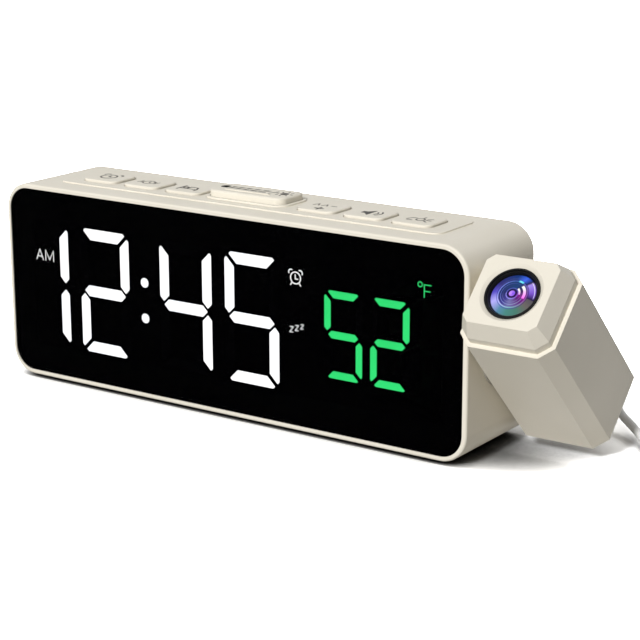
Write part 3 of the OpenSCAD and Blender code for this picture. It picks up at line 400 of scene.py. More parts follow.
# Dipped epoxy bead of the temperature sensor: dark brown and glossy
sensorEpoxy = mouldedPlastic("sensorEpoxy", {
    "colour": "#2e241b", "shade": "#1f1812", "roughness": 0.2, "specular": 0.5,
    "drift": 2, "grain": 0.6, "depth": 0.02})
# Pressed paper cone: felted fibres, very dull
conePaper = mouldedPlastic("conePaper", {
    "colour": "#19191b", "shade": "#0f0f11", "roughness": 0.9, "specular": 0.1,
    "drift": 1.5, "grain": 0.3, "depth": 0.08, "strength": 0.8})
# Light-passing insert when its LED is off: milky, but painted near black as the shade
# behind the smoked window, so that it melts into the mask
paintedShadeInsert = mouldedPlastic("paintedShadeInsert", {
    "colour": "#030303", "shade": "#020202", "roughness": 0.9, "specular": 0.0,
    "drift": 5, "grain": 0.6, "depth": 0.01})
# Pad-printed epoxy ink on the keys: near black, slightly uneven where it lies thin
inkLook = {"roughness": 0.6, "specular": 0.3, "drift": 1.2, "grain": 0.4, "depth": 0.01}
padInk = mouldedPlastic("padInk", {"colour": "#2e2b27", "shade": "#3b3832", **inkLook})
thinInk = mouldedPlastic("thinInk", {"colour": "#5d584f", "shade": "#6e695f", **inkLook})
# Zinc-plated screws and rings, and the nickel shells of both plugs: bright, faintly lined
platedSteel = platedMetal("platedSteel", {
    "colour": "#c3c5c8", "shade": "#a9abaf", "roughness": 0.32, "lines": (1, 8, 1), "pitch": 2})
# Black-plated frame and magnet of the speaker: dull grey with mottled plating
speakerSteel = platedMetal("speakerSteel", {
    "colour": "#5b5d62", "shade": "#45474b", "roughness": 0.4, "lines": (1, 1, 1), "pitch": 1.5})
# Spring brass of the battery clips, rolled: warm, with fine lines
contactBrass = platedMetal("contactBrass", {
    "colour": "#cdb57c", "shade": "#b79c62", "roughness": 0.3, "lines": (1, 6, 1), "pitch": 2})
# Stainless can of the coin cell, brushed across
cellSteel = platedMetal("cellSteel", {
    "colour": "#d0d1d3", "shade": "#b6b8bb", "roughness": 0.25, "lines": (1, 1, 12), "pitch": 2})
# Glass-epoxy board with green solder mask: satin, with paler tracks
greenBoard = circuitBoard("greenBoard", {
    "colour": "#1f5a38", "track": "#2f7a4d", "roughness": 0.32, "specular": 0.5,
    "pitch": 3, "depth": 0.04, "strength": 0.4})
# Smoked acrylic window with an anti-glare face: near black, lets the digits through
smokedAcrylic = clearPlastic("smokedAcrylic", {
    "colour": "#020203", "shade": "#010102", "roughness": 0.12, "alpha": 0.45,
    "ior": 1.49, "specular": 0.012, "flow": 20})
# Cast epoxy of the LEDs: clear straw colour, glossy
ledResin = clearPlastic("ledResin", {
    "colour": "#f3ecc2", "shade": "#e8dfae", "roughness": 0.15, "alpha": 0.9,
    "ior": 1.5, "specular": 0.5, "flow": 1})
# Moulded acrylic lenses inside the head: water clear, polished
clearLens = clearPlastic("clearLens", {
    "colour": "#dfe8ef", "shade": "#d2dde6", "roughness": 0.05, "alpha": 0.3,
    "ior": 1.49, "specular": 0.5, "flow": 3})
# Screen-printed mask on the back of the window: dead black, so only the symbols show
maskInk = mouldedPlastic("maskInk", {
    "colour": "#020202", "shade": "#010101", "roughness": 0.9, "specular": 0.0,
    "drift": 20, "grain": 1, "depth": 0.005})
# Inserts over white and green LEDs, bright enough to read as full white through the smoke
whiteGlow = glowingPlastic("whiteGlow", {
    "colour": "#ffffff", "shade": "#f4f8ff", "spread": 12, "strength": 4.4})
greenGlow = glowingPlastic("greenGlow", {
    "colour": "#30de75", "shade": "#2dd66f", "spread": 10, "strength": 3.5})
thinWhiteGlow = glowingPlastic("thinWhiteGlow", {
    "colour": "#ffffff", "shade": "#f2f6fa", "spread": 4, "strength": 4.0})

slotFinish = {
    "ivory": ivoryAbs, "foot_rubber": footRubber, "screw_steel": platedSteel,
    "smoked_acrylic": smokedAcrylic, "black_plastic": blackAbs, "diffuser": paintedShadeInsert,
    "board": greenBoard, "led": ledResin, "speaker_steel": speakerSteel,
    "speaker_paper": conePaper, "contact_brass": contactBrass, "cell_steel": cellSteel,
    "sensor_epoxy": sensorEpoxy, "pale_plastic": paleAcetal, "wire": wireSleeve,
    "coated_lens": clearLens, "clear_lens": clearLens, "lead_white": leadPvc,
}
nodeFinish = {"light_box": flockBlack, "lens_ring": lensBlack, "lens_barrel": lensBlack,
              "control_chip": chipEpoxy, "key_switches": chipEpoxy, "power_socket": chipEpoxy}
for part in frame["record"]["subparts"]:
    mesh = nodes[part["node"]].data
    mesh.materials.clear()
    mesh.materials.append(nodeFinish.get(part["node"], slotFinish[part["material_slot"]]))
print("finishes on", len(nodes), "nodes")


# Power lead: from the socket at the back to a coil behind the clock and its USB plug
lead = {
    "diameter": 2.5,
    "start": (65, 67, 13),         # end of the plug's strain relief
    "rest": 0.2,                   # height of the lead's middle where it lies on the table
    "coilPlace": (146.5, 34),
    "outerTurn": 17.75,            # radius
    "turnsPerRow": 3.12,
    "rows": 4,
    "stepAngle": 18,               # degrees from one point of the coil to the next
    "climbAngle": 100,             # degrees over which the lead climbs a row
    "leaveAngle": 30,
    "usb": (151.8, 72.0, 2.65),
    "sides": 14,
}
# Sideways place, place along the plug and share of the fall, from the plug to the coil
leadRoute = np.array([
    [0, -6, 1], [0, 0, 1], [0, 6, 0.98], [2.5, 12, 0.94], [7, 16.5, 0.86], [13, 18, 0.77],
    [19, 15.5, 0.66], [24, 10, 0.56], [28.5, 3.5, 0.46], [33.5, -3.5, 0.36], [39, -10, 0.26],
    [44, -14.2, 0.18], [49, -18.8, 0.11], [54.5, -25, 0.05], [60.5, -33, 0.01],
    [64.5, -39.1, 0], [67.3, -43.65, 0], [71, -47.6, 0]])
# Share of the way to the USB plug sideways and along it, and of the fall from the coil's top
tailRoute = np.array([
    [-0.149, -0.089, 1], [0, 0, 1], [0.149, 0.089, 0.99], [0.435, 0.25, 0.88],
    [0.73, 0.44, 0.6], [0.92, 0.64, 0.28], [0.99, 0.83, 0.06], [1, 1, 0], [1, 1.17, 0]])


def throughPoints(points, steps):
    # Catmull-Rom curve: each span is a cubic set by the points on either side of it
    p = np.asarray(points, float)
    u = np.arange(steps)[None, :, None] / steps
    a, b, c, d = (p[i:len(p) - 3 + i, None] for i in range(4))
    curve = 0.5 * (2 * b + u * (c - a) + u ** 2 * (2 * a - 5 * b + 4 * c - d)
                   + u ** 3 * (3 * b - a - 3 * c + d))
    return np.vstack([curve.reshape(-1, 3), p[-2]])


def leadPath():
    # straight from the plug, down to the table, round the coil and up to the USB plug
    sx, sy, sz = lead["start"]
    fall = sz - lead["rest"]
    out = throughPoints(np.c_[sx + leadRoute[:, 0], sy + leadRoute[:, 1],
                              lead["rest"] + leadRoute[:, 2] * fall], 2)
    # coil: each row is a spiral with a pitch of one diameter, in and out by turns;
    # the lead climbs one row in a soft step round each change of way
    cx, cy = lead["coilPlace"]
    first = np.degrees(np.arctan2(out[-1, 1] - cy, out[-1, 0] - cx)) % 360
    rows, perRow, d = lead["rows"], lead["turnsPerRow"], lead["diameter"]
    whole = round((rows * perRow * 360 - (lead["leaveAngle"] + 360 - first)) / 360)
    total = whole * 360 + lead["leaveAngle"] + 360 - first
    turned = np.linspace(0, total, int(total / lead["stepAngle"]))[1:-1]
    row = turned / total * rows
    inward = 1 - np.abs((row % 2) - 1)
    r = lead["outerTurn"] - inward * (total / rows / 360) * d
    near = np.round(row)    # the closest change of row
    step = np.clip((row - near) * (total / rows) / lead["climbAngle"] + 0.5, 0, 1)
    climb = np.where((near > 0) & (near < rows), near - 1 + step * step * (3 - 2 * step),
                     np.floor(row))
    angle = np.radians(first + turned)
    coil = np.c_[cx + r * np.cos(angle), cy + r * np.sin(angle), lead["rest"] + climb * d]
    # tail: from the top of the coil's outer turn to the USB plug
    leave = np.radians(lead["leaveAngle"])
    start = np.array([cx + lead["outerTurn"] * np.cos(leave),
                      cy + lead["outerTurn"] * np.sin(leave), lead["rest"] + (rows - 1) * d])
    share = tailRoute.copy()
    share[:, 2] = 1 - share[:, 2]
    tail = throughPoints(start + share * (np.array(lead["usb"]) - start), 2)
    return np.vstack([out, coil, tail])


path = leadPath()
fine = throughPoints(np.vstack([2 * path[0] - path[1], path, 2 * path[-1] - path[-2]]), 3)
leadTube = tubeSurface(fromCase(fine), lead["diameter"] / 2 * mm, lead["sides"])
powerLead = makePiece("powerLead", leadTube, leadPvc, "clock",
                      ["power_lead", "power_lead_coil", "power_lead_tail"])

# Moulded plug with grip rings, and a ribbed strain relief that tapers to the lead
plug = {
    "start": (65, 37.3, 13), "body": 18.0, "relief": 11.7, "radius": 4.0,
    "rounding": 0.9,               # how much thinner the body is at its ends
    "grip": {"from": 8, "to": 15.5, "pitch": 1.5, "depth": 0.22},
    "neck": 2.9, "narrowing": 1.15,
    "grooves": {"from": 1.5, "pitch": 2.04, "depth": 0.18},
}


def wave(x, start, pitch):
    # none at the start and after each pitch, two halfway between
    return 1 - np.cos((x - start) * 2 * np.pi / pitch)


def plugProfile():
    # rounded body, waves for the grip rings, then a cone with five grooves
    grip, grooves = plug["grip"], plug["grooves"]
    body = np.linspace(0, plug["body"], 60)
    edge = np.clip(np.minimum(body, plug["body"] - body), 0, 1)
    radius = plug["radius"] - plug["rounding"] * (1 - np.sqrt(1 - (1 - edge) ** 2))
    radius -= np.where((body > grip["from"]) & (body < grip["to"]),
                       grip["depth"] * wave(body, grip["from"], grip["pitch"]), 0)
    cone = np.linspace(0, plug["relief"], 50)
    taper = plug["neck"] - cone / plug["relief"] * plug["narrowing"]
    taper -= np.where(cone > grooves["from"],
                      grooves["depth"] * wave(cone, grooves["from"], grooves["pitch"]), 0)
    return np.concatenate([[[0, 0]], np.c_[radius, body],
                           np.c_[taper, plug["body"] + cone], [[0, plug["body"] + plug["relief"]]]])


points, faces = latheSurface(plugProfile(), 32)
laid = points[:, [0, 2, 1]] * (1, 1, -1) + plug["start"]    # from upright to along +Y
powerPlug = makePiece("powerPlug", (fromCase(laid), faces), leadPvc, "clock", ["power_plug"])

# USB plug: soft rounded grip, steel shell, pale tongue
usb = {
    "place": (151.8, 72.0, -1.1), "width": 11.0, "length": 20.0, "height": 7.5, "corner": 2.2,
    "rounding": {"lead": 2.5, "mouth": 1.2, "share": 0.28},    # length at each end, and depth
    "grooves": {"from": 5, "to": 14, "pitch": 3, "depth": 0.018},
    "shell": (12.0, 12.0, 4.5), "wall": 0.4, "corners": (0.6, 0.3),
    "sunk": 0.2, "floor": 0.3,     # how far the shell goes into the grip, and its own floor
    "tongue": ((-5.4, 19.9, 3.6), (5.4, 30.8, 5.2)),
}


def usbGrip():
    # rounded rectangle carried along the plug, drawn in at both ends and at three grip grooves
    ends, grooves = usb["rounding"], usb["grooves"]
    y = np.linspace(0, usb["length"], 60)
    end = np.clip(np.minimum(y / ends["lead"], (usb["length"] - y) / ends["mouth"]), 0, 1)
    size = 1 - ends["share"] * (1 - np.sqrt(1 - (1 - end) ** 2))
    size -= np.where((y > grooves["from"]) & (y < grooves["to"]),
                     grooves["depth"] * wave(y, grooves["from"], grooves["pitch"]), 0)
    ring = roundedRect(usb["width"], usb["height"], usb["corner"])
    points = np.stack([size[:, None] * ring[None, :, 0], np.repeat(y[:, None], len(ring), 1),
                       size[:, None] * ring[None, :, 1] + usb["height"] / 2], -1)
    n = len(ring)
    last = (len(y) - 1) * n
    faces = gridFaces(len(y), n) + [list(range(n)), list(range(last, last + n))]
    return points.reshape(-1, 3), faces


def usbShell():
    # outer and inner rectangle joined at the mouth, each closed at its other end
    w, length, h = usb["shell"]
    outerCorner, innerCorner = usb["corners"]
    outer = roundedRect(w, h, outerCorner, 3)
    inner = roundedRect(w - 2 * usb["wall"], h - 2 * usb["wall"], innerCorner, 3)
    rings = [(outer, 0), (outer, length), (inner, length), (inner, usb["floor"])]
    start = usb["length"] - usb["sunk"]
    points = np.stack([np.stack([r[:, 0], np.full(len(r), y + start),
                                 r[:, 1] + usb["height"] / 2], -1) for r, y in rings])
    n = len(outer)
    return points.reshape(-1, 3), gridFaces(4, n) + [list(range(n)), list(range(3 * n, 4 * n))]


def onUsbPlug(surface):
    # from the plug's own frame, which starts at the lead's end, to the model's frame
    return fromCase(surface[0] + usb["place"]), surface[1]


usbPlug = makePiece("usbPlug", onUsbPlug(usbGrip()), leadPvc, "clock", ["usb_plug"])
makePiece("usbShell", onUsbPlug(usbShell()), platedSteel, "clock")
(x0, y0, z0), (x1, y1, z1) = usb["tongue"]
tongue = slabSurface([(x0, y0), (x1, y0), (x1, y1), (x0, y1)], z0, z1)
makePiece("usbTongue", onUsbPlug(tongue), paleAcetal, "clock", smooth=False)

print("plugs made")


# Floor and lights, in metres
studio = {
    "side": 3.0, "low": -0.00002,   # half the floor's width, and its drop below the feet
    "bounce": "#aeaca8",            # paper as the object sees it
    "mirrored": 1.2,                # paper as it shows in gloss and glass
    "seen": 7.0,                    # paper as the camera sees it, before shadow
    # the next two set a painted contact shadow, drawn into the paper's colour from ambient
    # occlusion
    "contact": 0.024,               # reach of the dark contact shadow
    "depth": 2.6,                   # how fast that shadow darkens towards the contact
    "ambient": 0.13,
    "key": {"azimuth": 3, "elevation": 33, "spread": 12, "strength": 3.1},
    "fill": {"azimuth": 160, "elevation": 44, "spread": 20, "strength": 0.55},
}


def makeFloor():
    # one square of white paper; its colour goes by the kind of ray that reaches it,
    # and to the camera it is darkened near the object: a painted contact shadow
    side, low, mirror = studio["side"], studio["low"], studio["mirrored"]
    mesh = bpy.data.meshes.new("floor")
    mesh.from_pydata([(-side, -side, low), (side, -side, low), (side, side, low),
                      (-side, side, low)], [], [(0, 1, 2, 3)])
    floor = bpy.data.objects.new("floor", mesh)
    scene.collection.objects.link(floor)
    material = bpy.data.materials.new("paperFloor")
    material.use_nodes = True
    tree = material.node_tree
    tree.nodes.clear()
    light = addNode(tree, "ShaderNodeLightPath")
    # ambient occlusion darkens the paper's colour near the object: a painted contact shadow
    close = addNode(tree, "ShaderNodeAmbientOcclusion", {"Distance": studio["contact"]},
                    samples=16)
    fall = addNode(tree, "ShaderNodeMath", {1: studio["depth"]}, {0: close.outputs["AO"]},
                   operation="POWER")
    white = addNode(tree, "ShaderNodeMath", {1: studio["seen"]}, {0: fall.outputs[0]},
                    operation="MULTIPLY")
    mirrored = addNode(tree, "ShaderNodeMath", links={0: light.outputs["Is Glossy Ray"],
                                                      1: light.outputs["Is Transmission Ray"]},
                       operation="MAXIMUM")
    # a Mix node takes its two colours at sockets 6 and 7 and gives one at output 2
    paper = addNode(tree, "ShaderNodeMix", {6: linearColour(studio["bounce"]),
                                            7: (mirror, mirror, mirror, 1)},
                    {0: mirrored.outputs[0]}, data_type="RGBA")
    colour = addNode(tree, "ShaderNodeMix", links={0: light.outputs["Is Camera Ray"],
                                                   6: paper.outputs[2], 7: white.outputs[0]},
                     data_type="RGBA")
    cloth = addNode(tree, "ShaderNodeBsdfDiffuse", links={"Color": colour.outputs[2]})
    addNode(tree, "ShaderNodeOutputMaterial", links={"Surface": cloth.outputs[0]})
    mesh.materials.append(material)


def makeWorld():
    # white to the camera, in gloss and through glass; a weak even light to all else
    world = bpy.data.worlds.new("studio")
    scene.world = world
    world.use_nodes = True
    tree = world.node_tree
    tree.nodes.clear()
    light = addNode(tree, "ShaderNodeLightPath")
    seen = light.outputs["Is Camera Ray"]
    for ray in ("Is Glossy Ray", "Is Transmission Ray"):
        seen = addNode(tree, "ShaderNodeMath", links={0: seen, 1: light.outputs[ray]},
                       operation="MAXIMUM").outputs[0]
    strength = addNode(tree, "ShaderNodeMapRange", {"To Min": studio["ambient"], "To Max": 1.0},
                       {"Value": seen})
    sky = addNode(tree, "ShaderNodeBackground", {"Color": (1, 1, 1, 1)},
                  {"Strength": strength.outputs[0]})
    addNode(tree, "ShaderNodeOutputWorld", links={"Surface": sky.outputs[0]})


def addLamp(name, look):
    # a wide even source, far away, so that the paper is as bright behind as in front
    data = bpy.data.lights.new(name, "SUN")
    data.angle = np.radians(look["spread"])
    data.energy = look["strength"]
    lamp = bpy.data.objects.new(name, data)
    scene.collection.objects.link(lamp)
    lamp.matrix_world = (Matrix.Rotation(np.radians(look["azimuth"]), 4, "Z")
                         @ Matrix.Rotation(np.radians(90 - look["elevation"]), 4, "X"))


makeFloor()
makeWorld()
addLamp("keyLamp", studio["key"])
addLamp("fillLamp", studio["fill"])
scene.view_settings.view_transform = "Standard"
print("studio lit")


# Display: middle of the digits, depths of their inserts behind the rim, and width, height
# and stroke of both sizes
display = {"middle": 30.35, "front": 1.95, "back": 3.4,
           "time": (19.7, 39.5, 3.5), "temperature": (13.0, 26.0, 2.2)}
# Cut corner and point of a segment in strokes, its inset and the gap at the middle in mm
segment = {"cut": 0.2, "point": 0.43, "inset": 0.9, "gap": 1}


def segmentOutline(s, w, h, t):
    # outline of one segment of a digit of width w, height h and stroke t; the lower and left
    # ones are the upper and right ones turned over
    c = segment["cut"] * t
    e, m, half = c + segment["inset"], segment["point"] * t, h / 2
    g = half + segment["gap"]
    top = [(e, h - c), (e + c, h), (w - e - c, h), (w - e, h - c), (w - e - t + c, h - t),
           (e + t - c, h - t)]
    right = [(w - c, h - e), (w - t, h - e - t + c), (w - t, g + t - m), (w - m, g), (w, g + m),
             (w, h - e - c)]
    mid = [(e, half), (e + t / 2, half + t / 2), (w - e - t / 2, half + t / 2), (w - e, half),
           (w - e - t / 2, half - t / 2), (e + t / 2, half - t / 2)]
    shapes = {"a": top, "b": right, "c": [(x, h - z) for x, z in right],
              "d": [(x, h - z) for x, z in top], "e": [(w - x, h - z) for x, z in right],
              "f": [(w - x, z) for x, z in right], "g": mid}
    return np.array(shapes[s])


def inFront(surface):
    # a flat shape in (x, z) whose third value is the depth behind the rim
    points, faces = surface
    return fromCase(np.asarray(points)[:, [0, 2, 1]]), faces


def makeDigit(name, node, left, size, lit, glow, segments="abcdefg"):
    # each segment is its outline carried back; a lit one shines at its front face alone
    middle = (left, display["middle"] - size[1] / 2)
    outlines = [segmentOutline(s, *size) + middle for s in segments]
    parts = [slabSurface(outline, display["front"], display["back"]) for outline in outlines]
    piece = makePiece(name, inFront(joinSurfaces(parts)), [paintedShadeInsert, glow], "clock", [node],
                      smooth=False)
    order = []
    for s, outline in zip(segments, outlines):
        order += [0] * len(outline) + [int(s in lit), 0]    # walls, front face, back face
    piece.data.polygons.foreach_set("material_index", order)


# Name, node, left edge, size, lit segments, light, and the segments if not all seven
for digit in (
        ("hourTensDigit", "hour_tens_digit", -80.75, display["time"], "bc", whiteGlow, "bc"),
        ("hourOnesDigit", "hour_ones_digit", -56.1, display["time"], "abged", whiteGlow),
        ("minuteTensDigit", "minute_tens_digit", -24.3, display["time"], "fgbc", whiteGlow),
        ("minuteOnesDigit", "minute_ones_digit", 0.35, display["time"], "afgcd", whiteGlow),
        ("temperatureTensDigit", "temperature_tens_digit", 36.0, display["temperature"],
         "afgcd", greenGlow),
        ("temperatureOnesDigit", "temperature_ones_digit", 51.7, display["temperature"],
         "abged", greenGlow)):
    makeDigit(*digit)

colon = {"x": -30.35, "rise": 5.6, "radius": 1.5}
dots = [slabSurface(arc(colon["x"], display["middle"] + z, colon["radius"], steps=28),
                    display["front"], display["back"]) for z in (-colon["rise"], colon["rise"])]
makePiece("colonDots", inFront(joinSurfaces(dots)), whiteGlow, "clock", ["colon_dots"],
          smooth=False)

# Indicators: inserts painted near black as shade (place, width and height) with symbols on them as
# lines of light
symbol = {"front": 1.92, "back": 1.97, "corner": 0.8}
inserts = [(-70.9, 9.0, 8.6, 4.8), (26.0, 14.95, 6.4, 6.4), (26.0, 0.0, 6.6, 4.8),
           (69.2, 17.5, 5.4, 5.2)]
plates = [slabSurface(roundedRect(w, h, symbol["corner"]) + (x, display["middle"] + z),
                      symbol["back"], display["back"]) for x, z, w, h in inserts]
makePiece("indicatorWindows", inFront(joinSurfaces(plates)), paintedShadeInsert, "clock",
          ["indicator_windows"], smooth=False)


def letterZ(x, z, width, height):
    # four corners of the letter, from its top left
    return [(x, z + height), (x + width, z + height), (x, z), (x + width, z)]


symbols = {
    # the letters A and M
    "halfDayGlyph": {"glow": thinWhiteGlow, "width": 0.25, "lines": [
        [(-74.5, 37.6), (-73.05, 41.0), (-71.6, 37.6)],
        [(-73.95, 38.8), (-72.15, 38.8)],
        [(-70.65, 37.6), (-70.65, 41.0), (-69.0, 38.1), (-67.35, 41.0), (-67.35, 37.6)]]},
    # face, hands, two bells and two feet
    "alarmGlyph": {"glow": thinWhiteGlow, "width": 0.29, "rings": [
        arc(26.0, 45.25, 1.75, steps=30)], "lines": [
        [(25.9, 46.35), (25.9, 44.95), (26.9, 44.95)],
        arc(24.4, 46.85, 0.8, 55, 215, 8), arc(27.6, 46.85, 0.8, -35, 125, 8),
        [(24.7, 43.75), (24.15, 43.0)], [(27.3, 43.75), (27.85, 43.0)]]},
    "napGlyph": {"glow": thinWhiteGlow, "width": 0.19, "lines": [
        letterZ(23.85, 28.95, 1.25, 1.6), letterZ(25.75, 29.6, 1.25, 1.55),
        letterZ(27.7, 30.35, 1.05, 1.3)]},
    "degreeGlyph": {"glow": greenGlow, "width": 0.26, "rings": [
        arc(67.95, 49.25, 0.7, steps=20)], "lines": [
        [(69.3, 45.6), (69.3, 49.3), (71.6, 49.3)], [(69.3, 47.5), (71.3, 47.5)]]},
}
for name, look in symbols.items():
    parts = ribbons(look["lines"], look.get("rings", []), look["width"],
                    symbol["front"], symbol["back"])
    makePiece(name, inFront(joinSurfaces(parts)), look["glow"], "clock",
              smooth=False)

# Black print on the window's back, open over the light box
mask = {"outer": (165.96, 58.96, 6.98), "edge": (165.5, 58.5, 6.75), "inner": (150.6, 40.6, 2.5),
        "middle": 31.0, "rim": 0.34, "front": 1.74, "back": 1.8}


def maskSurface():
    # an L-shaped section carried round: up the window's edge, and inwards behind it
    outer = roundedRect(*mask["outer"]) + (0, mask["middle"])
    edge = roundedRect(*mask["edge"]) + (0, mask["middle"])
    inner = roundedRect(*mask["inner"]) + (0, display["middle"])
    n = len(outer)
    rings = [(outer, mask["rim"]), (edge, mask["rim"]), (edge, mask["front"]),
             (inner, mask["front"]), (inner, mask["back"]), (outer, mask["back"]),
             (outer, mask["rim"])]
    points = np.concatenate([np.c_[ring, np.full(n, depth)] for ring, depth in rings])
    return points, gridFaces(len(rings), n)


makePiece("windowMask", inFront(maskSurface()), maskInk, "clock",
          smooth=False)
print("display made")


# Prints on the keys: heights of the tops they lie on, and the film of ink
keyPrint = {"keyTop": 63.2, "barTop": 64.9, "lift": 0.005, "thick": 0.03}
moon = {"place": (-12.3, 19.9), "radius": 1.55}
sun = {"place": (9.4, 20.0), "radius": 1.35, "rays": (2.0, 2.9)}


def crescent(x, y, r):
    # outer arc of a moon closed by a flatter inner one
    return np.vstack([arc(x, y, r, 50, 310, 22), arc(x + 0.55 * r, y, 0.9 * r, 285, 75, 14)])


def sunRays(x, y, near, far):
    # eight short lines that point away from the middle
    return [[(x + r * np.cos(a), y + r * np.sin(a)) for r in (near, far)]
            for a in np.radians(np.arange(0, 360, 45))]


marks = {
    # face, hands and two bells
    "alarmMark": {"body": "alarm_key", "ink": padInk, "width": 0.5, "rings": [
        arc(-57.9, 18.8, 2.6, steps=30)], "lines": [
        [(-57.9, 20.23), (-57.9, 18.8), (-56.73, 18.28)],
        arc(-60.37, 21.27, 1.04, 60, 210, 8), arc(-55.43, 21.27, 1.04, -30, 120, 8)]},
    # clock face between two small arrows
    "timeMark": {"body": "time_key", "ink": thinInk, "width": 0.42, "rings": [
        arc(-41.4, 18.5, 1.95, steps=24)], "lines": [
        [(-41.4, 19.7), (-41.4, 18.5), (-40.5, 18.1)],
        [(-45.1, 17.3), (-44.4, 19.7), (-43.7, 17.3)],
        [(-39.2, 19.7), (-38.5, 17.3), (-37.8, 19.7)]]},
    # bed seen from the side
    "napMark": {"body": "nap_key", "ink": padInk, "width": 0.5, "rings": [
        arc(-26.9, 18.8, 0.8, steps=14)], "lines": [
        [(-28.2, 21.1), (-28.2, 15.5)], [(-28.2, 17.2), (-21.6, 17.2), (-21.6, 15.5)],
        [(-25.5, 17.6), (-25.5, 19.8), (-22.8, 19.6), (-21.8, 17.6)]]},
    "plusMark": {"body": "plus_key", "ink": padInk, "width": 0.6, "lines": [
        [(24.9, 13.9), (24.9, 17.1)], [(23.3, 15.5), (26.5, 15.5)]]},
    # two arrows up and a minus
    "stepMark": {"body": "plus_key", "ink": thinInk, "width": 0.42, "lines": [
        [(20.4, 18.9), (21.4, 20.9), (22.4, 18.9)], [(23.3, 18.9), (24.3, 20.9), (25.3, 18.9)],
        [(26.2, 19.9), (28.2, 19.9)]]},
    # loudspeaker and two waves
    "volumeMark": {"body": "volume_key", "ink": padInk, "width": 0.45, "fills": [
        [(38.0, 17.6), (39.3, 17.6), (41.3, 15.5), (41.3, 21.7), (39.3, 19.6), (38.0, 19.6)]],
        "lines": [arc(41.5, 18.6, 1.7, -55, 55, 8), arc(41.5, 18.6, 3.0, -50, 50, 10)]},
    # projector with its lens and beams
    "projectionMark": {"body": "projection_key", "ink": padInk, "width": 0.45, "rings": [
        arc(57.7, 18.5, 1.3, steps=18)], "lines": [
        [(53.5, 17.7), (54.5, 19.8), (56.0, 19.8)], [(53.9, 16.9), (55.9, 16.9)],
        [(59.4, 19.4), (61.0, 20.4)], [(59.5, 18.4), (61.3, 18.3)],
        [(59.3, 17.4), (60.8, 16.3)], [(57.7, 20.3), (57.8, 21.7)]]},
    # moon, five letters that grow, and a slanted bar
    "snoozeMark": {"body": "snooze_bar", "ink": padInk, "width": 0.5, "fills": [
        crescent(*moon["place"], moon["radius"])], "lines": [
        *(letterZ(x, 19.9 - size / 2, size, size)
          for x, size in ((-10.4, 1.8), (-7.9, 2.0), (-5.2, 2.2), (-2.3, 2.4), (0.8, 2.6))),
        [(4.6, 18.2), (6.2, 21.8)]]},
    "brightnessMark": {"body": "snooze_bar", "ink": padInk, "width": 0.45, "fills": [
        arc(*sun["place"], sun["radius"], steps=24)],
        "lines": sunRays(*sun["place"], *sun["rays"])},
}
for name, mark in marks.items():
    # ribbons and filled outlines in the plane of the top, as a film of ink
    top = keyPrint["barTop" if mark["body"] == "snooze_bar" else "keyTop"]
    low, high = top + keyPrint["lift"], top + keyPrint["lift"] + keyPrint["thick"]
    parts = ribbons(mark["lines"], mark.get("rings", []), mark["width"], low, high)
    parts += [slabSurface(outline, low, high) for outline in mark.get("fills", [])]
    points, faces = joinSurfaces(parts)
    makePiece(name, (fromCase(points), faces), mark["ink"], mark["body"],
              smooth=False)
print("keys printed")


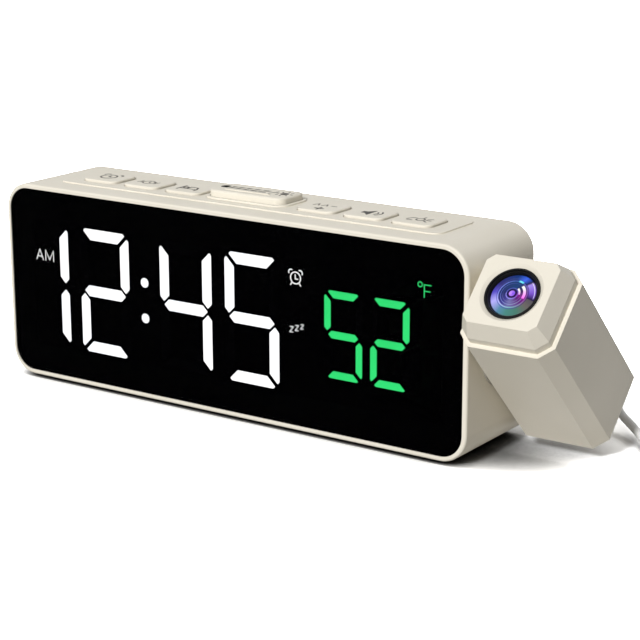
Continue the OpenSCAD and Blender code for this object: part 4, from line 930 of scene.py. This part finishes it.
# Front lens, and its zones, outermost first: coating tints with painted reflections and glints.
# Reach from the middle in lens radii with a soft edge, turn in degrees from the right,
# and the colours round it
lensLook = {
    "place": 30.15, "radius": 6.4, "edge": 0.4, "rise": 1.1,
    "roughness": 0.14, "ior": 1.49, "specular": 0.12,
    "tintsAndPaintedReflections": [
        # coating tints round the edge, with painted reflections: a pale crescent at the lower left,
        # a grey sector at the lower right
        {"colours": [
            (-180, "#5a50c8"), (-150, "#b3adf8"), (-115, "#5687a8"), (-90, "#46837c"),
            (-58, "#457668"), (-30, "#66615e"), (-9, "#565058"), (-6, "#1d1040"),
            (14, "#7a54cc"), (44, "#a890f0"), (50, "#12163c"), (70, "#3f68ee"),
            (95, "#1b3a80"), (150, "#35347a"), (180, "#5a50c8")]},
        # grey sector on the rim at the lower right: a painted reflection
        {"reach": (0.97, 1.3, 0.03), "colours": [
            (-112, "#0b0b14"), (-105, "#585250"), (-14, "#5c5856"), (-8, "#0b0b14")]},
        # thin white arc: a painted highlight
        {"reach": (0.915, 0.955, 0.012), "turn": (2, 44, 6), "colours": [
            (0, "#cfc6ff"), (44, "#f4efff")]},
        {"reach": (-0.2, 0.68, 0.02), "colours": [
            (-180, "#1c2860"), (-122, "#3c3888"), (-88, "#6c6ca2"), (-34, "#5c1e74"),
            (-12, "#7e1684"), (22, "#380a4e"), (72, "#123e74"), (180, "#1c2860")]},
        # pale ring: a painted reflection, as are the thin rings below
        {"reach": (0.61, 0.675, 0.02), "colours": [
            (-180, "#7f8cf0"), (-140, "#b9b9ff"), (-80, "#74b0b8"), (-20, "#8a4a9a"),
            (90, "#3f62b4"), (180, "#7f8cf0")]},
        {"reach": (0.68, 0.715, 0.012), "colours": [
            (-180, "#2c2f8c"), (-140, "#4b55b8"), (-20, "#4a2468"), (60, "#101a4c"),
            (180, "#2c2f8c")]},
        {"reach": (0.5, 0.53, 0.01), "colours": [
            (-180, "#5f74d8"), (-60, "#9aa0c4"), (60, "#26347c"), (180, "#5f74d8")]},
        {"reach": (0.4, 0.425, 0.01), "colours": [
            (-180, "#3a468c"), (-80, "#8680ba"), (60, "#142058"), (180, "#3a468c")]},
        # cyan glint: a painted highlight
        {"reach": (0.6, 0.71, 0.02), "turn": (66, 83, 4), "colours": [
            (60, "#35c4e8"), (76, "#7df4ff"), (90, "#35b0e0")]},
        # pink and white arc: a painted highlight
        {"reach": (0.46, 0.6, 0.025), "turn": (-12, 50, 5), "colours": [
            (-14, "#ff6cf4"), (22, "#f6c8ff"), (40, "#ffffff")]},
        # inner pink and white arc: a painted highlight
        {"reach": (0.27, 0.37, 0.02), "turn": (2, 52, 6), "colours": [
            (0, "#d890e8"), (46, "#ffffff")]},
        {"reach": (0.235, 0.285, 0.015), "colours": [
            (-90, "#8f88e8"), (0, "#7a50c0"), (90, "#4a58b0"), (180, "#5f58c8")]},
        {"reach": (-0.2, 0.225, 0.02), "colours": [(-180, "#120440"), (0, "#1c0848")]},
        {"reach": (-0.2, 0.145, 0.02), "colours": [
            (-180, "#c48cfc"), (0, "#7f50e4"), (180, "#c48cfc")]},
    ],
}


def coatingWithPaintedReflections():
    # Multi-coated acrylic: violet, blue and teal tints of the coating, with painted reflections on
    # them;
    # the light rings, glints and grey sectors are painted reflections; a ramp round the axis
    # colours each zone
    material, tree, shader = startMaterial("coatingWithPaintedReflections", {
        "Roughness": lensLook["roughness"], "IOR": lensLook["ior"],
        "Specular IOR Level": lensLook["specular"]})
    flat = addNode(tree, "ShaderNodeUVMap", uv_map="lensFace").outputs["UV"]
    centred = addNode(tree, "ShaderNodeMapping", {"Location": (-1, -1, 0), "Scale": (2, 2, 1)},
                      {"Vector": flat})
    reach = addNode(tree, "ShaderNodeVectorMath", links={0: centred.outputs[0]},
                    operation="LENGTH").outputs["Value"]
    parts = addNode(tree, "ShaderNodeSeparateXYZ", links={0: centred.outputs[0]})
    turn = addNode(tree, "ShaderNodeMath", links={0: parts.outputs["Y"], 1: parts.outputs["X"]},
                   operation="ARCTAN2")
    turn = addNode(tree, "ShaderNodeMapRange", {"From Min": -np.pi, "From Max": np.pi},
                   {"Value": turn.outputs[0]}).outputs["Result"]
    black, white = "#000000", "#ffffff"
    colour = None
    for zone in lensLook["tintsAndPaintedReflections"]:
        tint = addNode(tree, "ShaderNodeValToRGB", links={"Fac": turn},
                       stops=[((angle + 180) / 360, code) for angle, code in zone["colours"]])
        if colour is None:
            colour = tint.outputs["Color"]
            continue
        inner, outer, soft = zone["reach"]
        band = addNode(tree, "ShaderNodeValToRGB", links={"Fac": reach},
                       stops=[(0, black), (inner, black), (inner + soft, white),
                              (outer - soft, white), (outer, black)])
        share = band.outputs["Color"]
        if "turn" in zone:
            first, last, fade = zone["turn"]
            places = [(angle + 180) / 360 for angle in (first - fade, first, last, last + fade)]
            window = addNode(tree, "ShaderNodeValToRGB", links={"Fac": turn},
                             stops=list(zip(places, (black, white, white, black))))
            share = addNode(tree, "ShaderNodeMath",
                            links={0: share, 1: window.outputs["Color"]},
                            operation="MULTIPLY").outputs[0]
        colour = addNode(tree, "ShaderNodeMix",
                         links={0: share, 6: colour, 7: tint.outputs["Color"]},
                         data_type="RGBA").outputs[2]
    tree.links.new(colour, shader.inputs["Base Color"])
    return material


def lensSurface():
    # spherical dome on a short cylinder
    r, edge, rise = lensLook["radius"], lensLook["edge"], lensLook["rise"]
    ball = (r * r + rise * rise) / (2 * rise)
    reach = np.linspace(0, r, 40)
    height = edge + rise - ball + np.sqrt(ball ** 2 - reach ** 2)
    return latheSurface(np.concatenate([np.c_[reach, height], [[r, 0], [0, 0]]]), 96)


lensPoints, lensFaces = lensSurface()
frontLens = makePiece("frontLens", (fromHead(lensPoints + (0, 0, lensLook["place"])), lensFaces),
                      coatingWithPaintedReflections(), "projector", ["front_lens"])


def mapLensFace(piece):
    # UV from the place across the beam: the head's X and its own Y, each over two radii
    mesh = piece.data
    flat = np.empty(len(mesh.vertices) * 3)
    mesh.vertices.foreach_get("co", flat)
    x, y, z = (flat.reshape(-1, 3) / mm - headPlace).T
    c, s = np.cos(headTilt), np.sin(headTilt)
    across = np.stack([x, c * y + s * z], -1) / lensLook["radius"]
    corner = np.empty(len(mesh.loops), int)
    mesh.loops.foreach_get("vertex_index", corner)
    layer = mesh.uv_layers.new(name="lensFace")
    layer.data.foreach_set("uv", (across[corner] / 2 + 0.5).ravel())


mapLensFace(frontLens)
print("lens made")
